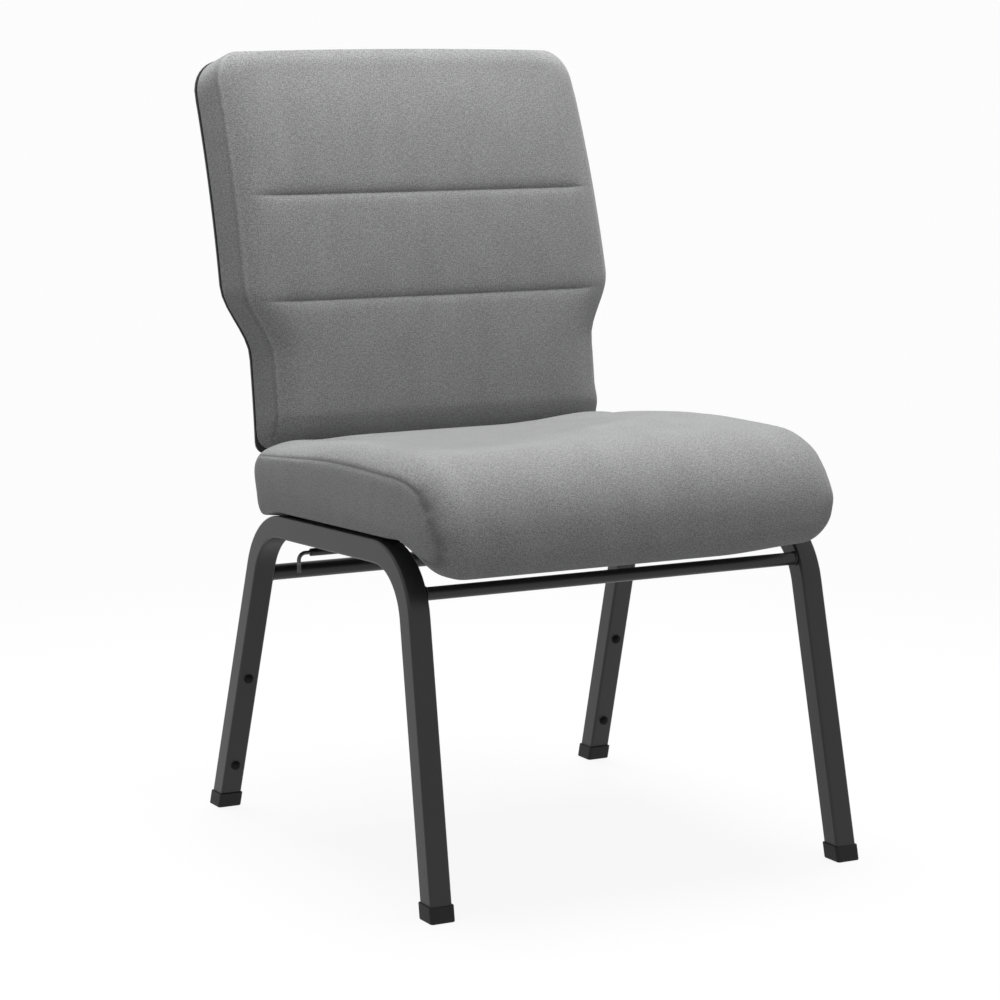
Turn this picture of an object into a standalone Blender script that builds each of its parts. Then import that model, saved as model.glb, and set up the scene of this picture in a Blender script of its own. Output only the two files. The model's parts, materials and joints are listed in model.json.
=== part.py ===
"""Upholstered stacking conference chair.

Two bent square-tube side frames carry a boxed waterfall seat and a curved padded back.
Metres, +Z up, the sitter faces -Y, +X is the sitter's left.
The origin is on the floor, at the middle of the chair's plan.
"""

import math

import bmesh
import bpy
from mathutils import Matrix, Vector

# Fits
CLEARANCE = 0.0003          # between pieces that touch or are welded
HOLE_CLEARANCE = 0.0004     # around a screw or a stem, on the radius
FABRIC = 0.0015             # cover cloth
FABRIC_CLEARANCE = 0.0006   # between the cloth and what it wraps

# Side frames: square tube bent to an inverted U, leaning inwards
TUBE = 0.025
TUBE_CORNER = 0.003
TUBE_WALL = 0.0015
BEND_RADIUS = 0.075
FOOT_SPREAD = 0.495
FRAME_LEAN = math.radians(1.62)
FRONT_FOOT_Y = -0.2644
REAR_FOOT_Y = 0.2759
FRONT_RAKE = math.radians(12.0)
REAR_RAKE = math.radians(17.4)
RAIL_HEIGHT = 0.3538
RAIL_PITCH = math.radians(2.2)

# Crossbars: round tube between the legs
FRONT_BAR_DIAMETER = 0.014
FRONT_BAR_DROP = 0.0133     # bar's middle below the underside of the seat's nose
REAR_BAR_DIAMETER = 0.018
REAR_BAR_HEIGHT = 0.286
BAR_WALL = 0.0012

# Foot caps
CAP_HEIGHT = 0.017
CAP_WALL = 0.0014
CAP_FLOOR = 0.004
CAP_CORNER = 0.003
CAP_BOTTOM_ROUND = 0.001

# Stacking bumpers on the front of the rear legs
BUMPER_HEIGHTS = {"upper": 0.160, "lower": 0.052}
BUMPER_DIAMETER = 0.0095
BUMPER_LENGTH = 0.005
BUMPER_STEM_DIAMETER = 0.005
BUMPER_BARB_DIAMETER = 0.0066
BUMPER_BARB_LENGTH = 0.003
BUMPER_BARB_TIP = 0.003
BUMPER_DOME = 0.003

# Flat straps under the seat, between the rails
STRAP_WIDTH = 0.030
STRAP_THICKNESS = 0.005
STRAP_Y = {"front": -0.120, "middle": 0.020, "rear": 0.120}

# Seat, in the plane of the rail tops: y to the rear, z up from the rails
SEAT_INSET = 0.0016         # from the outer faces of the rails
SEAT_NOSE_Y = -0.272
SEAT_REAR_Y = 0.198
SEAT_TOP = 0.0990
SEAT_CREST_Y = -0.030
SEAT_CROWN = 0.004
SEAT_FRONT_SHOULDER = 0.089
SEAT_REAR_SHOULDER = 0.088
SEAT_FRONT_ROUND = 0.100
SEAT_REAR_ROUND = 0.040
SEAT_BASE_ROUND = 0.034
SEAT_NOSE_DROP = 0.030
SEAT_NOSE_LEAN = 0.010
SEAT_NOSE_EDGE = 0.014
SEAT_NOSE_DEPTH = 0.053
SEAT_DROP_RUN = 0.054
SEAT_EDGE_ROUND = 0.030
SEAT_BASE_EDGE_ROUND = 0.006
SEAT_FRONT_CORNER = 0.062
SEAT_REAR_CORNER = 0.030
SEAT_HEM = 0.020
SEAT_BOARD = 0.012
SEAT_BOARD_FRONT_Y = -0.138
SEAT_BOARD_REAR_Y = 0.138
DUST_COVER = 0.0008
DUST_MARGIN = 0.030
SEAT_SCREW_INSET = 0.025    # from the back uprights

# Back: layers bent round an axis behind the chair
BACK_RADIUS = 1.200
BACK_AXIS_HEIGHT = 0.327
BACK_REAR_Y = 0.2283
BACK_TOP = 0.8670
BACK_BOTTOM = 0.4370
SHELL_BOTTOM = 0.4150
SHELL = 0.003
SHELL_LAP = 0.0025
WAIST_INSET = 0.0245        # from the sides of the seat
SHOULDER_FLARE = 0.0287     # from the waist
TOP_TAPER = 0.0044          # from the shoulders
WAIST_TOP = 0.525
SHOULDER_BOTTOM = 0.605
BACK_TOP_CORNER = 0.036
BACK_BOTTOM_CORNER = 0.022
BACK_DEPTH = 0.048
BACK_TAPER = 0.5
BACK_CROWN = 0.004
BACK_FRONT_ROUND = 0.020
BACK_REAR_ROUND = 0.005
BACK_FRONT_REACH = 0.023
BACK_REAR_REACH = 0.0088
BACK_SIDE_ROUND = 0.018
UPRIGHT_NOTCH = 0.002
NECK_ROOM = 0.007
BACK_HEM = 0.013
BACK_BOARD = 0.010
BACK_BOARD_MARGIN = 0.020
BACK_SCREW_INSET = 0.045    # from the uprights

# Back uprights: flat tube from the seat straps up into the back
UPRIGHT_WIDTH = 0.025
UPRIGHT_THICKNESS = 0.010
UPRIGHT_WALL = 0.0015
UPRIGHT_CORNER = 0.002
UPRIGHT_INSET = 0.0585      # from the side of the back's waist
UPRIGHT_FRONT_Y = 0.000
UPRIGHT_HEEL_Y = 0.206
UPRIGHT_HEEL_RADIUS = 0.035
UPRIGHT_NECK_RADIUS = 0.150
UPRIGHT_TOP = 0.740
TIE_HEIGHTS = {"lower": 0.560, "upper": 0.700}
TIE_WIDTH = 0.030
TIE_THICKNESS = 0.004

# Fasteners
SCREW_DIAMETER = 0.006
SCREW_HEAD_DIAMETER = 0.012
SCREW_HEAD_HEIGHT = 0.0035
SCREW_END_GAP = 0.001
HEAD_CROWN = 0.7            # flat of a screw head, as a share of its width
SHELL_SCREW_DIAMETER = 0.004
SHELL_SCREW_HEAD_DIAMETER = 0.009
SHELL_SCREW_HEAD_HEIGHT = 0.002
SHELL_SCREW_LENGTH = 0.010
SHELL_SCREW_HEIGHTS = (0.460, 0.680)

# Ganging hook: a wire that slides out sideways to hold the next chair
WIRE = 0.0045
HOOK_Y = 0.120
HOOK_REACH = 0.0153         # of the tip past the guide
HOOK_DROP = 0.022
HOOK_BEND = 0.008
HOOK_TRAVEL = 0.075
HOOK_STOP_GAP = 0.004
HOOK_STOP_RISE = 0.016
GUIDE_SLEEVE = 0.011
GUIDE_LENGTH = 0.040
GUIDE_OFFSET = 0.001        # of its inner end from the upright's middle
GUIDE_HANGER = 0.0105
GUIDE_HANGER_LENGTH = 0.0239
CATCH_THICKNESS = 0.003
CATCH_DEPTH = 0.026
CATCH_WELD = 0.012
CATCH_REACH = 0.027
CATCH_DROP = 0.009
CATCH_SLOT = (0.009, 0.014)

# Shares of a pad's depth that its edge rounding may take
EDGE_LIMITS = {"top": 0.45, "base": 0.3}

# Facets
BEND_STEPS = 6
ARC_STEPS = 5
CORNER_STEPS = 2
ROUND_STEPS = 12
SEAT_SECTIONS = 17
BACK_SECTIONS = 19
UPRIGHT_ARC_STEPS = 6
SMOOTH_ANGLE = math.radians(35)

# Finishes: colour, roughness, metallic
FINISHES = {
    "frame": ((0.045, 0.045, 0.047), 0.45, 0.3),
    "cap": ((0.020, 0.020, 0.020), 0.60, 0.0),
    "rubber": ((0.015, 0.015, 0.015), 0.75, 0.0),
    "fabric": ((0.210, 0.210, 0.215), 0.95, 0.0),
    "foam": ((0.700, 0.660, 0.540), 0.95, 0.0),
    "plywood": ((0.550, 0.400, 0.240), 0.70, 0.0),
    "lining": ((0.025, 0.025, 0.025), 0.95, 0.0),
    "shell": ((0.018, 0.018, 0.019), 0.55, 0.0),
    "zinc": ((0.620, 0.630, 0.640), 0.35, 1.0),
    "wire": ((0.120, 0.120, 0.122), 0.40, 0.8),
}

# Derived sizes
RAIL_TOP = RAIL_HEIGHT + TUBE / 2 / math.cos(RAIL_PITCH)
FRONT_BAR_HEIGHT = RAIL_TOP - SEAT_NOSE_DROP - FRONT_BAR_DROP
RAIL_X = FOOT_SPREAD / 2 - RAIL_TOP * math.tan(FRAME_LEAN)
SEAT_HALF_WIDTH = RAIL_X + TUBE / 2 - SEAT_INSET
WAIST_HALF_WIDTH = SEAT_HALF_WIDTH - WAIST_INSET
SHOULDER_HALF_WIDTH = WAIST_HALF_WIDTH + SHOULDER_FLARE
TOP_HALF_WIDTH = SHOULDER_HALF_WIDTH - TOP_TAPER
HEM_TOP = CLEARANCE + FABRIC
BOARD_BASE = HEM_TOP + FABRIC_CLEARANCE
DUST_BASE = BOARD_BASE - CLEARANCE - DUST_COVER
STRAP_TOP = DUST_BASE - CLEARANCE
STRAP_BASE = STRAP_TOP - STRAP_THICKNESS
COVER_INSET = FABRIC + 2 * FABRIC_CLEARANCE
UPRIGHT_FRONT = SHELL + CLEARANCE + UPRIGHT_THICKNESS
BACK_BOARD_REAR = UPRIGHT_FRONT + CLEARANCE
BACK_BOARD_FRONT = BACK_BOARD_REAR + BACK_BOARD
BACK_COVER_REAR = SHELL + FABRIC_CLEARANCE
BACK_AXIS_Y = BACK_REAR_Y + BACK_RADIUS
UPRIGHT_X = WAIST_HALF_WIDTH - UPRIGHT_INSET
BACK_SCREW_X = UPRIGHT_X - BACK_SCREW_INSET
SEAT_SCREW_X = UPRIGHT_X - SEAT_SCREW_INSET
GUIDE_INNER_X = -UPRIGHT_X - GUIDE_OFFSET
GUIDE_OUTER_X = GUIDE_INNER_X - GUIDE_LENGTH
HOOK_TIP_X = GUIDE_OUTER_X - HOOK_REACH


def rail_line(y):
    """Height of the rail's centreline at y."""
    return RAIL_HEIGHT - y * math.tan(RAIL_PITCH)


def frame_x(height):
    """Distance of a leg's centreline from the middle of the chair at a height."""
    return FOOT_SPREAD / 2 - height * math.tan(FRAME_LEAN)


def upright_run_height(y):
    """Height of the uprights' centreline where they run under the straps."""
    drop = (CLEARANCE + UPRIGHT_THICKNESS / 2 - STRAP_BASE) / math.cos(RAIL_PITCH)
    return RAIL_TOP - drop - y * math.tan(RAIL_PITCH)


def back_point(along, out):
    """Point (y, z) of the back, along its rear arc and out towards the sitter."""
    angle = along / BACK_RADIUS
    radius = BACK_RADIUS + out
    return BACK_AXIS_Y - radius * math.cos(angle), BACK_AXIS_HEIGHT + radius * math.sin(angle)


def back_along(height, out):
    """Arc length at which a layer of the back reaches a height."""
    return BACK_RADIUS * math.asin((height - BACK_AXIS_HEIGHT) / (BACK_RADIUS + out))


def corner_trim(distance, radius):
    """Half-width lost at a distance from the end of a panel with a round corner."""
    if distance >= radius:
        return 0.0
    reach = radius - max(distance, 0.0)
    return radius - math.sqrt(radius ** 2 - reach ** 2)


def back_half_width(height, bottom):
    """Half-width of the back shell's outline at a height."""
    blend = min(max((height - WAIST_TOP) / (SHOULDER_BOTTOM - WAIST_TOP), 0.0), 1.0)
    blend = blend * blend * (3 - 2 * blend)
    rise = min(max((height - SHOULDER_BOTTOM) / (BACK_TOP - SHOULDER_BOTTOM), 0.0), 1.0)
    upper = SHOULDER_HALF_WIDTH + (TOP_HALF_WIDTH - SHOULDER_HALF_WIDTH) * rise
    width = WAIST_HALF_WIDTH + (upper - WAIST_HALF_WIDTH) * blend
    width -= corner_trim(BACK_TOP - height, BACK_TOP_CORNER)
    return width - corner_trim(height - bottom, BACK_BOTTOM_CORNER)


def rounded_path(corners, steps=ARC_STEPS):
    """Points of an open path through (a, b, radius) corners, with the corners rounded."""
    points = [Vector(corners[0][:2])]
    for before, here, after in zip(corners, corners[1:], corners[2:]):
        corner = Vector(here[:2])
        come = (Vector(before[:2]) - corner).normalized()
        leave = (Vector(after[:2]) - corner).normalized()
        half = come.angle(leave) / 2
        centre = corner + (come + leave).normalized() * here[2] / math.sin(half)
        start = corner + come * here[2] / math.tan(half) - centre
        end = corner + leave * here[2] / math.tan(half) - centre
        turn = start.angle_signed(end)
        for step in range(steps + 1):
            points.append(centre + Matrix.Rotation(-turn * step / steps, 2) @ start)
    points.append(Vector(corners[-1][:2]))
    return points


def resample(points, fractions):
    """Points at the given fractions of a path's length."""
    lengths = [0.0]
    for before, after in zip(points, points[1:]):
        lengths.append(lengths[-1] + (after - before).length)
    found = []
    for fraction in fractions:
        target = fraction * lengths[-1]
        index = 1
        while index < len(points) - 1 and lengths[index] < target:
            index += 1
        span = lengths[index] - lengths[index - 1]
        share = (target - lengths[index - 1]) / span if span else 0.0
        found.append(points[index - 1].lerp(points[index], share))
    return found


def end_spacing(count):
    """Fractions from 0 to 1 that lie closer together at both ends."""
    return [(1 - math.cos(math.pi * i / (count - 1))) / 2 for i in range(count)]


def loft(rings, cyclic=False):
    """Closed body through rings of equal count; a cyclic loft joins its last ring to its first."""
    mesh = bmesh.new()
    loops = [[mesh.verts.new(point) for point in ring] for ring in rings]
    pairs = list(zip(loops, loops[1:]))
    if cyclic:
        pairs.append((loops[-1], loops[0]))
    else:
        mesh.faces.new(loops[0])
        mesh.faces.new(loops[-1])
    for near, far in pairs:
        for i in range(len(near)):
            j = (i + 1) % len(near)
            mesh.faces.new((near[i], near[j], far[j], far[i]))
    bmesh.ops.recalc_face_normals(mesh, faces=mesh.faces)
    return mesh


def tube_section(width, depth, corner):
    """Rounded rectangle, as (x, depth) offsets from the tube's centre."""
    section = []
    for quarter in range(4):
        turn = math.pi / 2 * quarter
        sign_x = 1 if quarter in (0, 3) else -1
        sign_d = 1 if quarter in (0, 1) else -1
        for step in range(CORNER_STEPS + 1):
            angle = turn + math.pi / 2 * step / CORNER_STEPS
            x = sign_x * (width / 2 - corner) + corner * math.cos(angle)
            d = sign_d * (depth / 2 - corner) + corner * math.sin(angle)
            section.append((x, d))
    return section


def bent_tube(path, width, depth, corner, wall):
    """Hollow tube swept along a path of (y, z) points; its ends stay open."""
    rings = {"outer": [], "inner": []}
    inner_corner = max(corner - wall, corner / 4)
    sections = {
        "outer": tube_section(width, depth, corner),
        "inner": tube_section(width - 2 * wall, depth - 2 * wall, inner_corner),
    }
    for i, point in enumerate(path):
        ahead = path[min(i + 1, len(path) - 1)]
        behind = path[max(i - 1, 0)]
        into = (point - behind).normalized() if i else (ahead - point).normalized()
        out = (ahead - point).normalized() if i < len(path) - 1 else into
        across = Vector((-(into + out).y, (into + out).x)).normalized()
        stretch = 1 / math.cos(into.angle(out) / 2)
        for name, section in sections.items():
            ring = []
            for x, d in section:
                spot = point + across * d * stretch
                ring.append(Vector((x, spot.x, spot.y)))
            rings[name].append(ring)
    return loft(rings["outer"] + rings["inner"][::-1], cyclic=True)


def slide_end(mesh, axis, near, height):
    """Cut the tube end at a point off level: its rim slides along the tube's axis to a height."""
    rim = [v for v in mesh.verts if (v.co - near).length < TUBE]
    for vert in rim:
        vert.co += axis * ((height - vert.co.z) / axis.z)


def box(size, round_edges=0.0):
    """Box centred on the origin, with its edges rounded."""
    mesh = bmesh.new()
    bmesh.ops.create_cube(mesh, size=1.0)
    bmesh.ops.scale(mesh, vec=size, verts=mesh.verts)
    if round_edges:
        bmesh.ops.bevel(mesh, geom=mesh.edges, offset=round_edges, segments=1, profile=0.5,
                        affect="EDGES", material=-1)
    return mesh


def turned(profile, hollow=False):
    """Body turned about Z from (radius, z) points; a hollow profile closes on itself."""
    mesh = bmesh.new()
    verts = [mesh.verts.new((radius, 0.0, z)) for radius, z in profile]
    pairs = list(zip(verts, verts[1:]))
    if hollow:
        pairs.append((verts[-1], verts[0]))
    edges = [mesh.edges.new(pair) for pair in pairs]
    bmesh.ops.spin(mesh, geom=verts + edges, cent=(0, 0, 0), axis=(0, 0, 1),
                   angle=2 * math.pi, steps=ROUND_STEPS, use_merge=True)
    bmesh.ops.remove_doubles(mesh, verts=mesh.verts, dist=1e-6)
    bmesh.ops.recalc_face_normals(mesh, faces=mesh.faces)
    return mesh


def rod(diameter, low, high):
    """Solid round bar along Z."""
    radius = diameter / 2
    return turned([(0, high), (radius, high), (radius, low), (0, low)])


def group(mesh_of, places):
    """One mesh that holds a copy of a body at each placing matrix."""
    whole = bmesh.new()
    for place in places:
        single = mesh_of()
        single.transform(place)
        holder = bpy.data.meshes.new("copy")
        single.to_mesh(holder)
        single.free()
        whole.from_mesh(holder)
        bpy.data.meshes.remove(holder)
    return whole


def finish_of(name):
    """Material of a finish, made once."""
    material = bpy.data.materials.get(name)
    if material is None:
        material = bpy.data.materials.new(name)
        material.use_nodes = True
        shader = material.node_tree.nodes["Principled BSDF"]
        colour, roughness, metallic = FINISHES[name]
        shader.inputs["Base Color"].default_value = (*colour, 1.0)
        shader.inputs["Roughness"].default_value = roughness
        shader.inputs["Metallic"].default_value = metallic
    return material


def empty(name, parent=None, location=(0, 0, 0), rotation=(0, 0, 0)):
    """Placing frame that other pieces hang from."""
    frame = bpy.data.objects.new(name, None)
    bpy.context.scene.collection.objects.link(frame)
    frame.parent = parent
    frame.location = location
    frame.rotation_euler = rotation
    return frame


def piece(name, mesh, finish, parent, location=(0, 0, 0), rotation=(0, 0, 0)):
    """Named object of one sub-part."""
    data = bpy.data.meshes.new(name)
    mesh.to_mesh(data)
    mesh.free()
    data.shade_smooth()
    data.set_sharp_from_angle(angle=SMOOTH_ANGLE)
    data.materials.append(finish_of(finish))
    item = bpy.data.objects.new(name, data)
    bpy.context.scene.collection.objects.link(item)
    item.parent = parent
    item.location = location
    item.rotation_euler = rotation
    return item


def cutter(name, mesh, parent, location=(0, 0, 0), rotation=(0, 0, 0)):
    """Hidden body that cuts holes."""
    tool = piece(name, mesh, "zinc", parent, location, rotation)
    tool.hide_render = True
    tool.display_type = "WIRE"
    return tool


def cut(target, tool):
    """Subtract a cutter from a piece."""
    step = target.modifiers.new(tool.name, "BOOLEAN")
    step.operation = "DIFFERENCE"
    step.solver = "EXACT"
    step.object = tool


def screw(diameter, head_diameter, head_height, length):
    """Pan-head screw: its shank runs up from z = 0, its head hangs below."""
    head = head_diameter / 2
    shank = diameter / 2
    crown = head * HEAD_CROWN
    return turned([(0, length), (shank, length), (shank, 0), (head, 0),
                   (head, -head_height / 2), (crown, -head_height), (0, -head_height)])


def place_screws(name, places, mesh_of, parent):
    """A screw of its own at each placing matrix, numbered from 1."""
    for number, place in enumerate(places, 1):
        item = piece(f"{name}_{number}", mesh_of(), "zinc", parent)
        item.matrix_basis = place


def pad_ring(half_width, depth, round_base, round_top, crown, hem, taper):
    """Section of a pad as (x, up) points, from one hem over the top to the other."""
    top = min(round_top, depth * EDGE_LIMITS["top"])
    base = min(round_base, depth * EDGE_LIMITS["base"])
    half = [(half_width - hem, 0.0)]
    for step in range(CORNER_STEPS + 1):
        angle = math.pi / 2 * step / CORNER_STEPS
        half.append((half_width - base + base * math.sin(angle), base - base * math.cos(angle)))
    for step in range(ARC_STEPS + 1):
        angle = math.pi / 2 * step / ARC_STEPS
        half.append((half_width - top + top * math.cos(angle), depth - top + top * math.sin(angle)))
    half.append((half_width / 2, depth))
    ring = half + [(0.0, depth)] + [(-x, up) for x, up in reversed(half)]
    return [(x - x / half_width * taper * up, up + crown * (1 - (x / half_width) ** 2) * up / depth)
            for x, up in ring]


def pad_rings(base_line, top_line, widths, round_base, round_top, crown, hem, taper=0.0):
    """Sections of a pad between its base line and its top line, both (y, z) points."""
    rings = []
    for i, (base, top, width) in enumerate(zip(base_line, top_line, widths)):
        rise = top - base
        up = rise.normalized()
        swell = crown * math.sin(math.pi * i / (len(widths) - 1))
        section = pad_ring(width, rise.length, round_base, round_top, swell, hem, taper)
        rings.append([Vector((x, *(base + up * v))) for x, v in section])
    return rings


def panel_rings(base_line, top_line, widths):
    """Square-edged sections of a board or shell."""
    rings = []
    for base, top, width in zip(base_line, top_line, widths):
        corners = ((-width, base), (width, base), (width, top), (-width, top))
        rings.append([Vector((x, *spot)) for x, spot in corners])
    return rings


def open_cover(rings, first, last):
    """Cloth skin of a pad, left open across its base between two sections."""
    mesh = loft(rings)
    mesh.faces.ensure_lookup_table()
    count = len(rings[0])
    ends = 2
    open_faces = [mesh.faces[ends + i * count + count - 1] for i in range(first, last)]
    bmesh.ops.delete(mesh, geom=open_faces, context="FACES")
    return mesh


def shrink(mesh, distance):
    """Move a closed body's surface inwards."""
    mesh.normal_update()
    moves = [(vert, vert.normal * distance * vert.calc_shell_factor()) for vert in mesh.verts]
    for vert, move in moves:
        vert.co -= move
    return mesh


def thicken(item, thickness):
    """Give a skin its thickness, inwards."""
    step = item.modifiers.new("thickness", "SOLIDIFY")
    step.thickness = thickness
    step.offset = -1.0
    step.use_even_offset = True


def build_side(name, sign, chair):
    """Leg frame, foot caps and stacking bumpers of one side."""
    side = empty(f"{name}_side", chair, (sign * FOOT_SPREAD / 2, 0, 0), (0, -sign * FRAME_LEAN, 0))
    lift = CAP_FLOOR + CLEARANCE + TUBE / 2 * math.tan(FRAME_LEAN)
    front = Vector((FRONT_FOOT_Y, 0.0))
    rear = Vector((REAR_FOOT_Y, 0.0))
    pitch = math.tan(RAIL_PITCH)
    front_top = (RAIL_HEIGHT - pitch * front.x) / (1 + pitch * math.tan(FRONT_RAKE))
    rear_top = (RAIL_HEIGHT - pitch * rear.x) / (1 - pitch * math.tan(REAR_RAKE))
    path = rounded_path([
        (*front, 0),
        (front.x + front_top * math.tan(FRONT_RAKE), front_top, BEND_RADIUS),
        (rear.x - rear_top * math.tan(REAR_RAKE), rear_top, BEND_RADIUS),
        (*rear, 0),
    ], BEND_STEPS)
    mesh = bent_tube(path, TUBE, TUBE, TUBE_CORNER, TUBE_WALL)
    front_axis = Vector((0, math.tan(FRONT_RAKE), 1))
    rear_axis = Vector((0, -math.tan(REAR_RAKE), 1))
    slide_end(mesh, front_axis, Vector((0, *front)), lift)
    slide_end(mesh, rear_axis, Vector((0, *rear)), lift)
    frame = piece(f"side_frame_{name}", mesh, "frame", side)

    for end, foot_y, axis, rake in (("front", FRONT_FOOT_Y, front_axis, FRONT_RAKE),
                                    ("rear", REAR_FOOT_Y, rear_axis, REAR_RAKE)):
        slope = Vector((-sign * math.tan(FRAME_LEAN), axis.y, 1))
        piece(f"foot_cap_{end}_{name}", foot_cap(slope, rake), "cap", chair,
              (sign * FOOT_SPREAD / 2, foot_y, 0))

    turn = (math.pi / 2 + REAR_RAKE, 0, 0)
    reach = TUBE / 2 / math.cos(REAR_RAKE)
    for level, height in BUMPER_HEIGHTS.items():
        spot = (0, REAR_FOOT_Y - height * math.tan(REAR_RAKE) - reach, height)
        hole_diameter = BUMPER_STEM_DIAMETER + 2 * HOLE_CLEARANCE
        hole = rod(hole_diameter, -2 * TUBE_WALL, TUBE_WALL)
        cut(frame, cutter(f"bumper_hole_{level}_{name}", hole, side, spot, turn))
        piece(f"stack_bumper_{level}_{name}", bumper(), "rubber", side, spot, turn)


def foot_cap(slope, rake):
    """Cup that slips over a leg's end; its walls follow the leg and its base is level."""
    half_x = TUBE / 2 + CLEARANCE + CAP_WALL
    half_y = TUBE / 2 / math.cos(rake) + CLEARANCE + CAP_WALL
    mesh = box((2 * half_x, 2 * half_y, CAP_HEIGHT))
    bmesh.ops.translate(mesh, vec=(0, 0, CAP_HEIGHT / 2), verts=mesh.verts)
    upright = [e for e in mesh.edges if abs(e.verts[0].co.z - e.verts[1].co.z) > CAP_HEIGHT / 2]
    bmesh.ops.bevel(mesh, geom=upright, offset=CAP_CORNER, segments=CORNER_STEPS, profile=0.5,
                    affect="EDGES", material=-1)
    base = [e for e in mesh.edges if max(v.co.z for v in e.verts) < CAP_HEIGHT / 2]
    bmesh.ops.bevel(mesh, geom=base, offset=CAP_BOTTOM_ROUND, segments=1, profile=0.5,
                    affect="EDGES", material=-1)
    bmesh.ops.recalc_face_normals(mesh, faces=mesh.faces)
    mouth = [max(mesh.faces, key=lambda f: f.calc_center_median().z)]
    bmesh.ops.inset_region(mesh, faces=mouth, thickness=CAP_WALL, use_even_offset=True)
    sunk = bmesh.ops.extrude_face_region(mesh, geom=mouth)
    floor = [v for v in sunk["geom"] if isinstance(v, bmesh.types.BMVert)]
    bmesh.ops.delete(mesh, geom=mouth, context="FACES")
    bmesh.ops.translate(mesh, vec=(0, 0, CAP_FLOOR - CAP_HEIGHT), verts=floor)
    bmesh.ops.recalc_face_normals(mesh, faces=mesh.faces)
    shear = Matrix.Identity(4)
    shear[0][2] = slope.x
    shear[1][2] = slope.y
    mesh.transform(shear)
    return mesh


def bumper():
    """Push-in rubber stop: domed head outside the tube wall, barb inside it."""
    head = BUMPER_DIAMETER / 2
    stem = BUMPER_STEM_DIAMETER / 2
    barb = BUMPER_BARB_DIAMETER / 2
    behind = -TUBE_WALL - CLEARANCE
    shoulder = CLEARANCE + BUMPER_LENGTH - BUMPER_DOME
    profile = [(head * math.sin(a), shoulder + BUMPER_DOME * math.cos(a))
               for a in (math.pi / 2 * i / ARC_STEPS for i in range(ARC_STEPS + 1))]
    profile += [(head, CLEARANCE), (stem, CLEARANCE), (stem, behind), (barb, behind),
                (BUMPER_BARB_TIP / 2, behind - BUMPER_BARB_LENGTH), (0, behind - BUMPER_BARB_LENGTH)]
    return turned(profile)


def build_crossbar(name, diameter, height, y, chair):
    """Round tube welded between the legs of the two sides."""
    half = frame_x(height) - TUBE / 2 / math.cos(FRAME_LEAN) - CLEARANCE
    half -= diameter / 2 * math.tan(FRAME_LEAN)
    outer = diameter / 2
    inner = outer - BAR_WALL
    mesh = turned([(outer, half), (outer, -half), (inner, -half), (inner, half)], hollow=True)
    piece(name, mesh, "frame", chair, (0, y, height), (0, math.pi / 2, 0))


def build_straps(seat):
    """Flat straps between the rails that the seat and the back uprights are fixed to."""
    rail_height = RAIL_TOP + STRAP_TOP
    half = frame_x(rail_height) - TUBE / 2 / math.cos(FRAME_LEAN) - CLEARANCE
    for name, y in STRAP_Y.items():
        strap = piece(f"seat_strap_{name}", box((2 * half, STRAP_WIDTH, STRAP_THICKNESS)), "frame",
                      seat, (0, y, STRAP_TOP - STRAP_THICKNESS / 2))
        if name != "middle":
            cut(strap, bpy.data.objects["seat_screw_holes"])


def seat_screw_places(height):
    """Placing matrices of the seat screws at a height of the seat plane."""
    return [Matrix.Translation((x, STRAP_Y[end], height))
            for end in ("front", "rear") for x in (-SEAT_SCREW_X, SEAT_SCREW_X)]


def seat_rings():
    """Sections of the seat pad, from its nose to its rear."""
    low = CLEARANCE - SEAT_NOSE_DROP
    drop_front = SEAT_NOSE_Y + SEAT_NOSE_DEPTH
    base_path = rounded_path([
        (SEAT_NOSE_Y + SEAT_NOSE_LEAN, low, 0),
        (drop_front, low, SEAT_BASE_ROUND),
        (drop_front + SEAT_DROP_RUN, CLEARANCE, SEAT_BASE_ROUND),
        (SEAT_REAR_Y, CLEARANCE, SEAT_BASE_ROUND),
        (SEAT_REAR_Y, CLEARANCE + SEAT_BASE_ROUND, 0),
    ])
    top_path = rounded_path([
        (SEAT_NOSE_Y, low + SEAT_NOSE_EDGE, 0),
        (SEAT_NOSE_Y + SEAT_NOSE_LEAN, SEAT_FRONT_SHOULDER, SEAT_FRONT_ROUND),
        (SEAT_CREST_Y, SEAT_TOP, SEAT_REAR_Y - SEAT_NOSE_Y),
        (SEAT_REAR_Y, SEAT_REAR_SHOULDER, SEAT_REAR_ROUND),
        (SEAT_REAR_Y, CLEARANCE + SEAT_BASE_ROUND + SEAT_NOSE_EDGE, 0),
    ])
    spacing = end_spacing(SEAT_SECTIONS)
    base_line = resample(base_path, spacing)
    top_line = resample(top_path, spacing)
    widths = []
    for base, top in zip(base_line, top_line):
        y = (base.x + top.x) / 2
        trim = corner_trim(y - SEAT_NOSE_Y, SEAT_FRONT_CORNER)
        trim += corner_trim(SEAT_REAR_Y - y, SEAT_REAR_CORNER)
        widths.append(SEAT_HALF_WIDTH - trim)
    return pad_rings(base_line, top_line, widths, SEAT_BASE_EDGE_ROUND, SEAT_EDGE_ROUND,
                     SEAT_CROWN, SEAT_HEM)


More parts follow.
